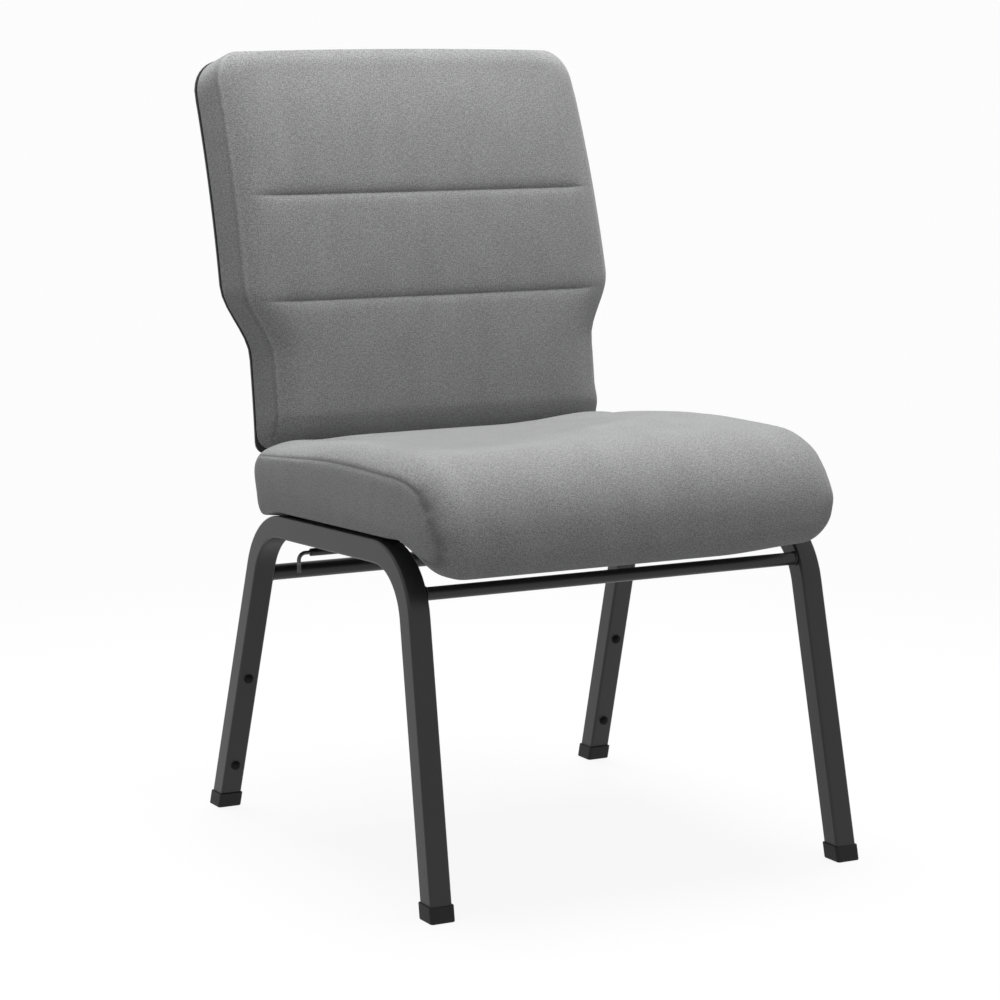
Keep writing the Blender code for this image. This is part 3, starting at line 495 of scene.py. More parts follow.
def raised(pair: Pair, share: float) -> float:
    """First value of a pair, raised by a share of the second."""
    return pair[0] + pair[1] * share


def bell(gap: float, width: float) -> float:
    """1 at a seam, falling off on both sides of it."""
    return math.exp(-((gap / width) ** 2))


def only(kind: type, geom: Sequence[object]) -> list:
    """Elements of one kind among those that an operator returns."""
    return [element for element in geom if isinstance(element, kind)]


def face_out(mesh: BMesh) -> None:
    """Turn a mesh's faces outwards."""
    bmesh.ops.recalc_face_normals(mesh, faces=mesh.faces)


def soften(mesh: BMesh, geom: Sequence[object], offset: float, segments: int,
           affect: str = "EDGES") -> None:
    """Round some edges, or with "VERTICES" some corners of a flat face."""
    bmesh.ops.bevel(mesh, geom=geom, offset=offset, segments=segments, profile=0.5, affect=affect,
                    material=-1)


def finished(mesh: BMesh, name: str, finish: Finish, stands_for: Sequence[str] = (),
             body: Body = Body.CHAIR, sharp: float = 40.0, weighted: bool = True) -> bpy.types.Object:
    """Turn a bmesh into a dressed piece that rides on a body.

    Args:
        mesh: Geometry in place; it is freed.
        name: Piece name.
        finish: Finish of the whole piece.
        stands_for: Nodes that the piece replaces.
        body: Body that carries it.
        sharp: Angle in degrees above which an edge stays sharp.
        weighted: Whether flat faces keep flat shading beside round edges.

    Returns:
        The piece.
    """
    data = bpy.data.meshes.new(name)
    mesh.to_mesh(data)
    mesh.free()
    data.materials.append(finish.material())
    data.shade_smooth()
    if sharp < 180.0:
        data.set_sharp_from_angle(angle=math.radians(sharp))
    piece = bpy.data.objects.new(name, data)
    bpy.context.scene.collection.objects.link(piece)
    if weighted:
        step = piece.modifiers.new("flat_faces", "WEIGHTED_NORMAL")
        step.keep_sharp = True
    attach(piece, body.value)
    if stands_for:
        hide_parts(*stands_for)
    LOG.info("piece %s: %d faces", name, len(data.polygons))
    return piece


def rounded_box(size: Sequence[float], radius: float, segments: int = 3) -> BMesh:
    """Box about the origin with all its edges rounded.

    Args:
        size: Lengths in x, y and z.
        radius: Radius of the edges.
        segments: Steps of each round.

    Returns:
        The box.
    """
    mesh = bmesh.new()
    bmesh.ops.create_cube(mesh, size=1.0)
    bmesh.ops.scale(mesh, vec=size, verts=mesh.verts)
    soften(mesh, mesh.edges[:], radius, segments)
    return mesh


def turned(profile: Sequence[Point2], steps: int = 40) -> BMesh:
    """Body turned about Z from (radius, z) points.

    Args:
        profile: Points of the half-section.
        steps: Steps round the axis.

    Returns:
        The body.
    """
    mesh = bmesh.new()
    verts = [mesh.verts.new((radius, 0.0, z)) for radius, z in profile]
    edges = [mesh.edges.new(pair) for pair in zip(verts, verts[1:])]
    bmesh.ops.spin(mesh, geom=verts + edges, cent=(0, 0, 0), axis=(0, 0, 1), angle=math.tau,
                   steps=steps, use_merge=True)
    bmesh.ops.remove_doubles(mesh, verts=mesh.verts, dist=1e-6)
    face_out(mesh)
    return mesh


def merged(parts: Sequence[BMesh]) -> BMesh:
    """One mesh that holds several; the parts are freed.

    Args:
        parts: Meshes to join.

    Returns:
        The joined mesh.
    """
    whole = bmesh.new()
    for part in parts:
        holder = bpy.data.meshes.new("part")
        part.to_mesh(holder)
        part.free()
        whole.from_mesh(holder)
        bpy.data.meshes.remove(holder)
    return whole


def weld_bead(radius: float, thickness: float, seed: float) -> BMesh:
    """Rippled ring of weld about the X axis.

    Args:
        radius: Radius of the ring's middle line.
        thickness: Radius of the bead.
        seed: Shifts the ripples.

    Returns:
        The ring.
    """
    mesh = bmesh.new()
    turn = Matrix.Translation((0, 0, radius)) @ Matrix.Rotation(QUARTER, 4, "X")
    ring = bmesh.ops.create_circle(mesh, cap_ends=False, segments=10, radius=thickness, matrix=turn)
    bmesh.ops.spin(mesh, geom=ring["verts"] + mesh.edges[:], cent=(0, 0, 0), axis=(1, 0, 0),
                   angle=math.tau, steps=72, use_merge=True)
    bmesh.ops.remove_doubles(mesh, verts=mesh.verts, dist=1e-6)
    shift = Vector((seed, 0, 0))
    for vert in mesh.verts:
        angle = math.atan2(vert.co.z, vert.co.y)
        out = Vector((0, vert.co.y, vert.co.z)).normalized() * radius
        ripple = 1 + 0.10 * math.sin(22 * angle + seed) + 0.22 * noise.noise(vert.co * 90 + shift)
        vert.co = out + (vert.co - out) * ripple
    face_out(mesh)
    return mesh


def bolt_head(radius: float, height: float, socket: float) -> BMesh:
    """Round screw head below z = 0 with a hexagon socket, and a short shank above.

    Args:
        radius: Radius of the head.
        height: Height of the head.
        socket: Radius of the socket.

    Returns:
        The head.
    """
    mesh = bmesh.new()
    rings = [(socket * 0.92, -height * 0.35, 6), (socket, -height, 6), (radius * 0.62, -height, 36),
             (radius * 0.86, -height * 0.86, 36), (radius, -height * 0.45, 36), (radius, 0.0, 36),
             (radius * 0.45, 0.0, 36), (radius * 0.45, height, 36)]
    loops = []
    for r, z, count in rings:
        known = set(mesh.edges)
        bmesh.ops.create_circle(mesh, cap_ends=False, segments=count, radius=r,
                                matrix=Matrix.Translation((0, 0, z)))
        loops.append([e for e in mesh.edges if e not in known])
    for near, far in zip(loops, loops[1:]):
        bmesh.ops.bridge_loops(mesh, edges=near + far)
    bmesh.ops.holes_fill(mesh, edges=loops[0], sides=0)
    bmesh.ops.holes_fill(mesh, edges=loops[-1], sides=0)
    face_out(mesh)
    return mesh


def screw_set(name: str, node: str, finish: Finish, size: Point3,
              places: Sequence[Matrix]) -> None:
    """Make numbered screw heads.

    Args:
        name: Name of the pieces, before the number.
        node: Name of the nodes that they stand for, before the number.
        finish: Finish of all of them.
        size: Radius, height and socket radius of a head.
        places: Placing matrix of each.
    """
    for number, place in enumerate(places, 1):
        head = bolt_head(*size)
        head.transform(place)
        finished(head, f"{name}_{number}", finish, [f"{node}_{number}"])


class Run:
    """A bar grown from one end in the YZ plane: straights are extruded and bends are spun."""

    def __init__(self, mesh: BMesh, start: Point2, heading: float) -> None:
        """Lay the one face of a flat section at the start, square to the heading.

        Args:
            mesh: The section, flat about the origin.
            start: Where it starts, as (y, z).
            heading: Angle of its way, from +Y towards +Z.
        """
        self.mesh = mesh
        self.spot = Vector(start)
        self.heading = heading
        across = Vector((0, -math.sin(heading), math.cos(heading)))
        ahead = Vector((0, math.cos(heading), math.sin(heading)))
        turn = Matrix((Vector((1, 0, 0)), across, ahead)).transposed().to_4x4()
        mesh.transform(Matrix.Translation((0, *start)) @ turn)
        mesh.faces.ensure_lookup_table()
        self.first = mesh.faces[0]
        self.face = self.first

    @classmethod
    def of_box(cls, width: float, depth: float, corner: float, start: Point2, heading: float) -> "Run":
        """Rectangular tube with round corners.

        Args:
            width: Size along X.
            depth: Size across X and the way.
            corner: Radius of the corners.
            start: Where it starts, as (y, z).
            heading: Angle of its way, from +Y towards +Z.

        Returns:
            The run.
        """
        mesh = bmesh.new()
        bmesh.ops.create_grid(mesh, x_segments=1, y_segments=1, size=0.5)
        bmesh.ops.scale(mesh, vec=(width, depth, 1), verts=mesh.verts)
        soften(mesh, mesh.verts[:], corner, 5, "VERTICES")
        return cls(mesh, start, heading)

    @classmethod
    def of_wire(cls, diameter: float, start: Point2, heading: float) -> "Run":
        """Round wire.

        Args:
            diameter: Thickness of the wire.
            start: Where it starts, as (y, z).
            heading: Angle of its way, from +Y towards +Z.

        Returns:
            The run.
        """
        mesh = bmesh.new()
        bmesh.ops.create_circle(mesh, cap_ends=True, segments=20, radius=diameter / 2)
        return cls(mesh, start, heading)

    def straight(self, length: float) -> None:
        """Extrude the open end by a length.

        Args:
            length: How far it goes.
        """
        ahead = Vector((math.cos(self.heading), math.sin(self.heading)))
        grown = bmesh.ops.extrude_face_region(self.mesh, geom=[self.face])["geom"]
        bmesh.ops.translate(self.mesh, vec=(0, *(ahead * length)), verts=only(BMVert, grown))
        self.face = only(BMFace, grown)[0]
        self.spot += ahead * length

    def bend(self, angle: float, radius: float, steps: int = 14) -> None:
        """Spin the open end through an angle; positive turns towards +Z from +Y.

        Args:
            angle: How far it turns.
            radius: Radius of the middle line.
            steps: Steps of the bend.
        """
        side = math.copysign(1.0, angle)
        aside = Vector((-math.sin(self.heading), math.cos(self.heading))) * side
        centre = self.spot + aside * radius
        geom = [self.face, *self.face.edges, *self.face.verts]
        last = bmesh.ops.spin(self.mesh, geom=geom, cent=(0, *centre), axis=(1, 0, 0), angle=angle,
                              steps=steps, use_duplicate=False)["geom_last"]
        self.face = only(BMFace, last)[0]
        self.heading += angle
        self.spot = centre - Vector((-math.sin(self.heading), math.cos(self.heading))) * side * radius

    def hollow_end(self, face: BMFace, wall: float, depth: float) -> None:
        """Open a tube's end.

        Args:
            face: The end's face.
            wall: The tube's wall.
            depth: How deep it is open.
        """
        inward = -face.normal.copy()
        bmesh.ops.inset_region(self.mesh, faces=[face], thickness=wall, use_even_offset=True)
        sunk = bmesh.ops.extrude_face_region(self.mesh, geom=[face])["geom"]
        bmesh.ops.translate(self.mesh, vec=inward * depth, verts=only(BMVert, sunk))

    def follow(self, corners: Sequence[Point3]) -> None:
        """Go through (y, z, radius) corners to the last one.

        Args:
            corners: The corners; the last one's radius isn't used.
        """
        for here, after in zip(corners, corners[1:]):
            way = Vector(here[:2]) - self.spot
            leave = Vector(after[:2]) - Vector(here[:2])
            ahead = math.atan2(leave.y, leave.x)
            angle = (ahead - self.heading + math.pi) % math.tau - math.pi
            self.straight(way.length - here[2] * math.tan(abs(angle) / 2))
            self.bend(angle, here[2])
        self.straight((Vector(corners[-1][:2]) - self.spot).length)

    def done(self, place: Matrix | None = None) -> BMesh:
        """The finished mesh, moved to its place.

        Args:
            place: Placing matrix, if any.

        Returns:
            The mesh.
        """
        self.mesh.normal_update()
        face_out(self.mesh)
        if place is not None:
            self.mesh.transform(place)
        return self.mesh


# Shared lines


@dataclass(frozen=True)
class Lines:
    """Lines that several sub-assemblies share."""

    shift: float = -0.0388932
    tube: float = 0.025
    foot_spread: float = 0.495
    lean: float = math.radians(1.62)
    front_foot: float = -0.2644
    rear_foot: float = 0.2759
    front_rake: float = math.radians(12.0)
    rear_rake: float = math.radians(17.4)
    rail_height: float = 0.3538
    rail_pitch: float = math.radians(2.2)
    nose_depth: float = 0.030
    clearance: float = 0.0003
    front_bar: float = 0.014
    front_bar_drop: float = 0.0133
    rear_bar: float = 0.018
    rear_bar_height: float = 0.286
    back_radius: float = 1.2
    back_axis_y: float = 1.4283
    back_axis_z: float = 0.327

    @property
    def rail_top(self) -> float:
        """Height of the rails' top faces at y = 0."""
        return self.rail_height + self.tube / 2 / math.cos(self.rail_pitch)

    @property
    def front_bar_height(self) -> float:
        """Height of the front bar's middle, below the seat's nose."""
        return self.rail_top - self.nose_depth - self.front_bar_drop

    @property
    def home(self) -> Matrix:
        """Placing matrix of the chair."""
        return Matrix.Translation((0, self.shift, 0))

    @property
    def seat_plane(self) -> Matrix:
        """Placing matrix of the plane of the rail tops."""
        up = Matrix.Translation((0, self.shift, self.rail_top))
        return up @ Matrix.Rotation(-self.rail_pitch, 4, "X")

    def leg_inside(self, height: float) -> float:
        """Distance of a leg's inner face from the middle of the chair."""
        return self.foot_spread / 2 - height * math.tan(self.lean) - self.tube / 2 / math.cos(self.lean)

    def front_y(self, height: float) -> float:
        """Place in y of a front leg's middle at a height."""
        return self.front_foot + height * math.tan(self.front_rake)

    def rear_y(self, height: float) -> float:
        """Place in y of a rear leg's middle at a height."""
        return self.rear_foot - height * math.tan(self.rear_rake)

    def back_y(self, height: float, out: float) -> float:
        """Place in y of a layer of the back at a height."""
        return self.back_axis_y - math.sqrt((self.back_radius + out) ** 2 - (height - self.back_axis_z) ** 2)

    def back_place(self, x: float, height: float, out: float) -> Matrix:
        """Placing matrix on the back: +Z points out towards the sitter.

        Args:
            x: Place across the chair.
            height: Height of the place.
            out: Distance of the layer from the rear face of the back.

        Returns:
            The matrix.
        """
        angle = math.asin((height - self.back_axis_z) / (self.back_radius + out))
        spot = Matrix.Translation((x, self.back_y(height, out) + self.shift, height))
        return spot @ Matrix.Rotation(QUARTER - angle, 4, "X")


LINES = Lines()


# Frame


@dataclass
class LegFrame:
    """One bent square tube with its foot tips and stacking bumpers."""

    side: Side
    corner: float = 0.003
    bend_radius: float = 0.075
    start: float = 0.008
    tip_height: float = 0.017
    tip_wall: float = 0.0017
    tip_corner: float = 0.0036
    tip_base_round: float = 0.0014
    tip_lip_round: float = 0.0006
    tip_depth: float = 0.011
    bumper_heights: dict[str, float] = field(default_factory=lambda: {"upper": 0.160, "lower": 0.052})
    bumper_radius: float = 0.0054
    bumper_length: float = 0.0054
    bumper_flange: float = 0.0022

    @property
    def foot(self) -> Matrix:
        """Placing matrix of the side's middle line on the floor."""
        return Matrix.Translation((self.side.value * LINES.foot_spread / 2, LINES.shift, 0))

    @property
    def place(self) -> Matrix:
        """Placing matrix of the side, leaning in towards its top."""
        return self.foot @ Matrix.Rotation(-self.side.value * LINES.lean, 4, "Y")

    def build(self) -> None:
        """Make the tube, the tips and the bumpers."""
        self.build_tube()
        self.build_tip("front", LINES.front_foot, LINES.front_rake)
        self.build_tip("rear", LINES.rear_foot, -LINES.rear_rake)
        for level, height in self.bumper_heights.items():
            self.build_bumper(level, height)

    def build_tube(self) -> None:
        """Sweep the tube from the front foot over the rail to the rear foot."""
        pitch = math.tan(LINES.rail_pitch)
        front_top = (LINES.rail_height - pitch * LINES.front_foot) / (1 + pitch * math.tan(LINES.front_rake))
        rear_top = (LINES.rail_height - pitch * LINES.rear_foot) / (1 - pitch * math.tan(LINES.rear_rake))
        run = Run.of_box(LINES.tube, LINES.tube, self.corner, (LINES.front_y(self.start), self.start),
                         QUARTER - LINES.front_rake)
        run.follow([(LINES.front_y(front_top), front_top, self.bend_radius),
                    (LINES.rear_y(rear_top), rear_top, self.bend_radius),
                    (LINES.rear_y(self.start), self.start, 0.0)])
        label = self.side.label
        finished(run.done(self.place), f"leg_frame_{label}", PowderCoat(), [f"side_frame_{label}"])

    def build_tip(self, end: str, foot: float, rake: float) -> None:
        """Make a foot tip: a cup with a soft lip, whose walls follow the leg.

        Args:
            end: Front or rear.
            foot: Place of the leg in y at the floor.
            rake: Angle by which the leg leans towards +Y.
        """
        half_x = LINES.tube / 2 + self.tip_wall
        half_y = LINES.tube / 2 / math.cos(rake) + self.tip_wall
        mesh = bmesh.new()
        bmesh.ops.create_cube(mesh, size=1.0)
        bmesh.ops.scale(mesh, vec=(2 * half_x, 2 * half_y, self.tip_height), verts=mesh.verts)
        bmesh.ops.translate(mesh, vec=(0, 0, self.tip_height / 2), verts=mesh.verts)
        upright = [e for e in mesh.edges if abs(e.verts[0].co.z - e.verts[1].co.z) > self.tip_height / 2]
        soften(mesh, upright, self.tip_corner, 5)
        base = [e for e in mesh.edges if max(v.co.z for v in e.verts) < 1e-6]
        soften(mesh, base, self.tip_base_round, 3)
        face_out(mesh)
        mouth = max(mesh.faces, key=lambda f: f.calc_center_median().z)
        bmesh.ops.inset_region(mesh, faces=[mouth], thickness=self.tip_wall, use_even_offset=True)
        mesh.normal_update()
        rim = [e for e in mesh.edges if min(v.co.z for v in e.verts) > self.tip_height - 1e-6
               and any(abs(f.normal.z) < 0.5 for f in e.link_faces)]
        soften(mesh, rim, self.tip_lip_round, 2)
        sunk = bmesh.ops.extrude_face_region(mesh, geom=[mouth])["geom"]
        bmesh.ops.translate(mesh, vec=(0, 0, -self.tip_depth), verts=only(BMVert, sunk))
        shear = Matrix.Identity(4)
        shear[0][2] = -self.side.value * math.tan(LINES.lean)
        shear[1][2] = math.tan(rake)
        mesh.transform(self.foot @ Matrix.Translation((0, foot, 0)) @ shear)
        label = self.side.label
        finished(mesh, f"foot_tip_{end}_{label}", TipPlastic(), [f"foot_cap_{end}_{label}"])

    def build_bumper(self, level: str, height: float) -> None:
        """Make a bumper: a domed button with a flange, on the front of the rear leg.

        Args:
            level: Upper or lower.
            height: Height of its middle.
        """
        r, low = self.bumper_radius, self.bumper_flange
        dome = [(r * 0.86 * math.sin(a), low + (self.bumper_length - low) * math.cos(a))
                for a in (QUARTER * i / 8 for i in range(9))]
        rim = [(r * 0.90, 0.0016), (r, 0.0012), (r, 0.0003), (r * 0.55, 0.0003), (r * 0.55, -0.0016)]
        mesh = turned(dome + rim, 32)
        spot = (0, LINES.rear_y(height) - LINES.tube / 2 / math.cos(LINES.rear_rake), height)
        turn = Matrix.Rotation(QUARTER + LINES.rear_rake, 4, "X")
        mesh.transform(self.place @ Matrix.Translation(spot) @ turn)
        label = self.side.label
        finished(mesh, f"bumper_button_{level}_{label}", BUMPER_RUBBER, [f"stack_bumper_{level}_{label}"],
                 sharp=50)


@dataclass
class Crossbar:
    """Round bar welded between the legs."""

    name: str
    diameter: float
    height: float
    y: float
    bead: float = 0.0009
    bead_in: float = 0.0012

    def build(self) -> None:
        """Make the bar with a weld bead at each end."""
        half = LINES.leg_inside(self.height)
        radius = self.diameter / 2
        mesh = bmesh.new()
        bmesh.ops.create_cone(mesh, cap_ends=True, segments=36, radius1=radius, radius2=radius,
                              depth=2 * (half - LINES.clearance), matrix=Matrix.Rotation(QUARTER, 4, "Y"))
        parts = [mesh]
        for side in Side:
            ring = weld_bead(radius + 0.0002, self.bead, 3.0 * side.value + self.y)
            ring.transform(Matrix.Translation((side.value * (half - self.bead_in), 0, 0)))
            parts.append(ring)
        whole = merged(parts)
        whole.transform(Matrix.Translation((0, self.y + LINES.shift, self.height)))
        finished(whole, f"{self.name}_bar", PowderCoat(), [f"{self.name}_crossbar"])


# Pads


@dataclass
class Swell:
    """Cloth under pressure over a pad's rest shape."""

    cap: float
    voxel: float = 0.006
    pressure: float = 4.0
    frames: int = 20
    neighbours: int = 12
    blur: float = 0.003
    settings: dict[str, object] = field(default_factory=lambda: {
        "quality": 5, "mass": 0.3, "tension_stiffness": 40, "compression_stiffness": 40,
        "bending_stiffness": 4, "use_pressure": True, "vertex_group_mass": "hold"})

    def moves(self, pad: bpy.types.Mesh, hold: Callable[[Vector], float]) -> np.ndarray:
        """Simulate a copy of the pad and carry its moves back to the pad's own points.

        Args:
            pad: Rest shape, closed.
            hold: Share from 0 to 1 by which the cloth is held at a point.

        Returns:
            One move per point of the pad.
        """
        scene = bpy.context.scene
        copy = bpy.data.objects.new("pad_swell", pad.copy())
        scene.collection.objects.link(copy)
        step = copy.modifiers.new("even", "REMESH")
        step.mode = "VOXEL"
        step.voxel_size = self.voxel
        copy.data = bpy.data.meshes.new_from_object(copy.evaluated_get(bpy.context.evaluated_depsgraph_get()))
        copy.modifiers.clear()
        rest = self._points(copy.data)
        group = copy.vertex_groups.new(name="hold")
        for index, spot in enumerate(rest):
            group.add([index], hold(Vector(spot)), "REPLACE")
        cloth = copy.modifiers.new("swell", "CLOTH")
        for key, value in self.settings.items():
            setattr(cloth.settings, key, value)
        cloth.settings.uniform_pressure_force = self.pressure
        cloth.settings.effector_weights.gravity = 0.0
        cloth.collision_settings.use_collision = False
        cloth.point_cache.frame_start = 1
        cloth.point_cache.frame_end = self.frames
        for frame in range(1, self.frames + 1):
            scene.frame_set(frame)
        shown = copy.evaluated_get(bpy.context.evaluated_depsgraph_get()).to_mesh()
        moved = self._points(shown) - rest
        scene.frame_set(1)
        bpy.data.objects.remove(copy)
        length = np.linalg.norm(moved, axis=1)
        LOG.info("swell: %d points, most %.1f mm, mean %.1f mm", len(rest), 1000 * length.max(),
                 1000 * length.mean())
        limit = self.cap * np.tanh(length / self.cap)
        moved *= (limit / np.maximum(length, 1e-9))[:, None]
        return self._carried(pad, rest, moved)

    @staticmethod
    def _points(mesh: bpy.types.Mesh) -> np.ndarray:
        """A mesh's points.

        Args:
            mesh: The mesh.

        Returns:
            One row per point.
        """
        flat = np.zeros(len(mesh.vertices) * 3)
        mesh.vertices.foreach_get("co", flat)
        return flat.reshape(-1, 3)

    def _carried(self, pad: bpy.types.Mesh, rest: np.ndarray, moved: np.ndarray) -> np.ndarray:
        """Moves of the simulated points, averaged at the pad's own points.

        Args:
            pad: Rest shape.
            rest: Simulated points at rest.
            moved: Their moves.

        Returns:
            One move per point of the pad.
        """
        tree = kdtree.KDTree(len(rest))
        for index, spot in enumerate(rest):
            tree.insert(spot, index)
        tree.balance()
        found = np.zeros((len(pad.vertices), 3))
        for vert in pad.vertices:
            near = tree.find_n(vert.co, self.neighbours)
            weights = np.array([1 / (distance + self.blur) ** 2 for _, _, distance in near])
            carried = moved[[index for _, index, _ in near]] * weights[:, None]
            found[vert.index] = carried.sum(0) / weights.sum()
        return found


def rounded_loop(corners: Sequence[Point3], steps: int = 24) -> np.ndarray:
    """Points of a closed outline through (a, b, radius) corners.

    Args:
        corners: Corners in order.
        steps: Steps of each round.

    Returns:
        One row per point.
    """
    points = []
    for i, here in enumerate(corners):
        corner = Vector(here[:2])
        come = (Vector(corners[i - 1][:2]) - corner).normalized()
        leave = (Vector(corners[(i + 1) % len(corners)][:2]) - corner).normalized()
        half = come.angle(leave) / 2
        centre = corner + (come + leave).normalized() * here[2] / math.sin(half)
        start = corner + come * here[2] / math.tan(half) - centre
        end = corner + leave * here[2] / math.tan(half) - centre
        turn = start.angle_signed(end)
        points += [centre + Matrix.Rotation(-turn * k / steps, 2) @ start for k in range(steps + 1)]
    return np.array([tuple(p) for p in points])


def steps_between(low: float, high: float, step: float) -> list[float]:
    """Even places from low to high, both included."""
    count = max(1, round((high - low) / step))
    return [low + (high - low) * i / count for i in range(count + 1)]


def around(places: Sequence[float], seams: Sequence[float], fine: Sequence[float]) -> list[float]:
    """Places with those near a seam exchanged for fine ones on both sides of it.

    Args:
        places: Places in order.
        seams: Where the seams lie.
        fine: Distances of the fine places from a seam.

    Returns:
        All the places in order.
    """
    reach = fine[-1] * 1.25
    kept = [p for p in places if all(abs(p - s) > reach for s in seams)]
    for seam in seams:
        kept += [seam + sign * d for d in fine for sign in ((1, -1) if d else (1,))]
    return sorted(kept)


def panel(columns: Sequence[float], rows: Sequence[float],
          spot: Callable[[float, float], Point2]) -> BMesh:
    """Flat panel whose points lie where a function of their column and row puts them.

    Args:
        columns: Value of each column.
        rows: Value of each row.
        spot: Place for the values of a column and a row.

    Returns:
        The panel.
    """
    mesh = bmesh.new()
    across, along = len(columns) - 1, len(rows) - 1
    bmesh.ops.create_grid(mesh, x_segments=across, y_segments=along, size=1.0)
    for vert in mesh.verts:
        column = columns[round((vert.co.x + 1) / 2 * across)]
        row = rows[round((vert.co.y + 1) / 2 * along)]
        vert.co = (*spot(column, row), 0.0)
    return mesh


class Pad:
    """A soft cushion: a closed rest shape that is swollen as cloth, sewn and put in its place."""

    name: ClassVar[str]
    stands_for: ClassVar[tuple[str, ...]]
    fill: ClassVar[float]
    swell_cap: ClassVar[float]
    quick_swell: ClassVar[float] = 0.004
    home: ClassVar[Matrix]

    def rest_mesh(self) -> BMesh:
        """Closed rest shape with its cloth map."""
        raise NotImplementedError

    def hold(self, spot: Vector) -> float:
        """Share by which the swelling cloth is held at a place."""
        raise NotImplementedError

    def stitched(self, mesh: BMesh, vert: BMVert) -> tuple[Vector, float]:
        """Move of a point when the cloth is sewn, and the shade of the seam there."""
        raise NotImplementedError

    @staticmethod
    def lay_cloth(mesh: BMesh) -> BMLayerItem:
        """Add the layers of the cloth; a flat panel's own coordinates are its map.

        Args:
            mesh: The flat panel.

        Returns:
            Layer of the cloth's map.
        """
        cloth = mesh.loops.layers.uv.new("cloth")
        # The seam layer carries painted shade and painted highlight for the cloth finish.
        mesh.verts.layers.float.new("seam")
        for face in mesh.faces:
            for loop in face.loops:
                loop[cloth].uv = loop.vert.co.xy
        return cloth

    @staticmethod
    def grow(mesh: BMesh, rim: list[BMEdge]) -> tuple[
            list[BMEdge], list[BMFace], dict[BMVert, BMVert]]:
        """Extrude an open rim, at first in place.

        Args:
            mesh: The cushion so far.
            rim: Edges of the rim.

        Returns:
            The new rim, the new faces, and the old point under each new one.
        """
        under = {tuple(round(c, 7) for c in v.co): v for e in rim for v in e.verts}
        grown = bmesh.ops.extrude_edge_only(mesh, edges=rim)["geom"]
        origin = {v: under[tuple(round(c, 7) for c in v.co)] for v in only(BMVert, grown)}
        return only(BMEdge, grown), only(BMFace, grown), origin

    @staticmethod
    def close(mesh: BMesh, rim: list[BMEdge]) -> list[BMFace]:
        """Close an open rim with triangles."""
        lid = bmesh.ops.holes_fill(mesh, edges=rim, sides=0)["faces"]
        return bmesh.ops.triangulate(mesh, faces=lid, quad_method="BEAUTY", ngon_method="BEAUTY")["faces"]

    def swell(self, mesh: BMesh) -> None:
        """Args:
            mesh: The rest shape.
        """
        data = bpy.data.meshes.new("rest")
        mesh.to_mesh(data)
        moves = [Vector(m) for m in Swell(self.swell_cap).moves(data, self.hold)]
        bpy.data.meshes.remove(data)
        for vert, move in zip(mesh.verts, moves):
            vert.co += move

    def sew(self, mesh: BMesh) -> None:
        """Draw the cloth in along its seams, and store the painted shade and highlight along them for the
        finish.

        Args:
            mesh: The swollen cushion.
        """
        mesh.normal_update()
        seam = mesh.verts.layers.float["seam"]
        stitches = [(vert, *self.stitched(mesh, vert)) for vert in mesh.verts]
        for vert, move, shade in stitches:
            vert.co += move
            # Store this point's painted shade; a value below 0 is a painted highlight.
            vert[seam] = shade

    def build(self) -> None:
        """Make the cushion, which stands for its cover and its foam."""
        mesh = self.rest_mesh()
        self.swell(mesh)
        self.sew(mesh)
        mesh.transform(self.home)
        piece = finished(mesh, self.name, WovenCloth(), self.stands_for, sharp=180, weighted=False)
        smooth = piece.modifiers.new("smooth", "SUBSURF")
        smooth.levels = smooth.render_levels = 1


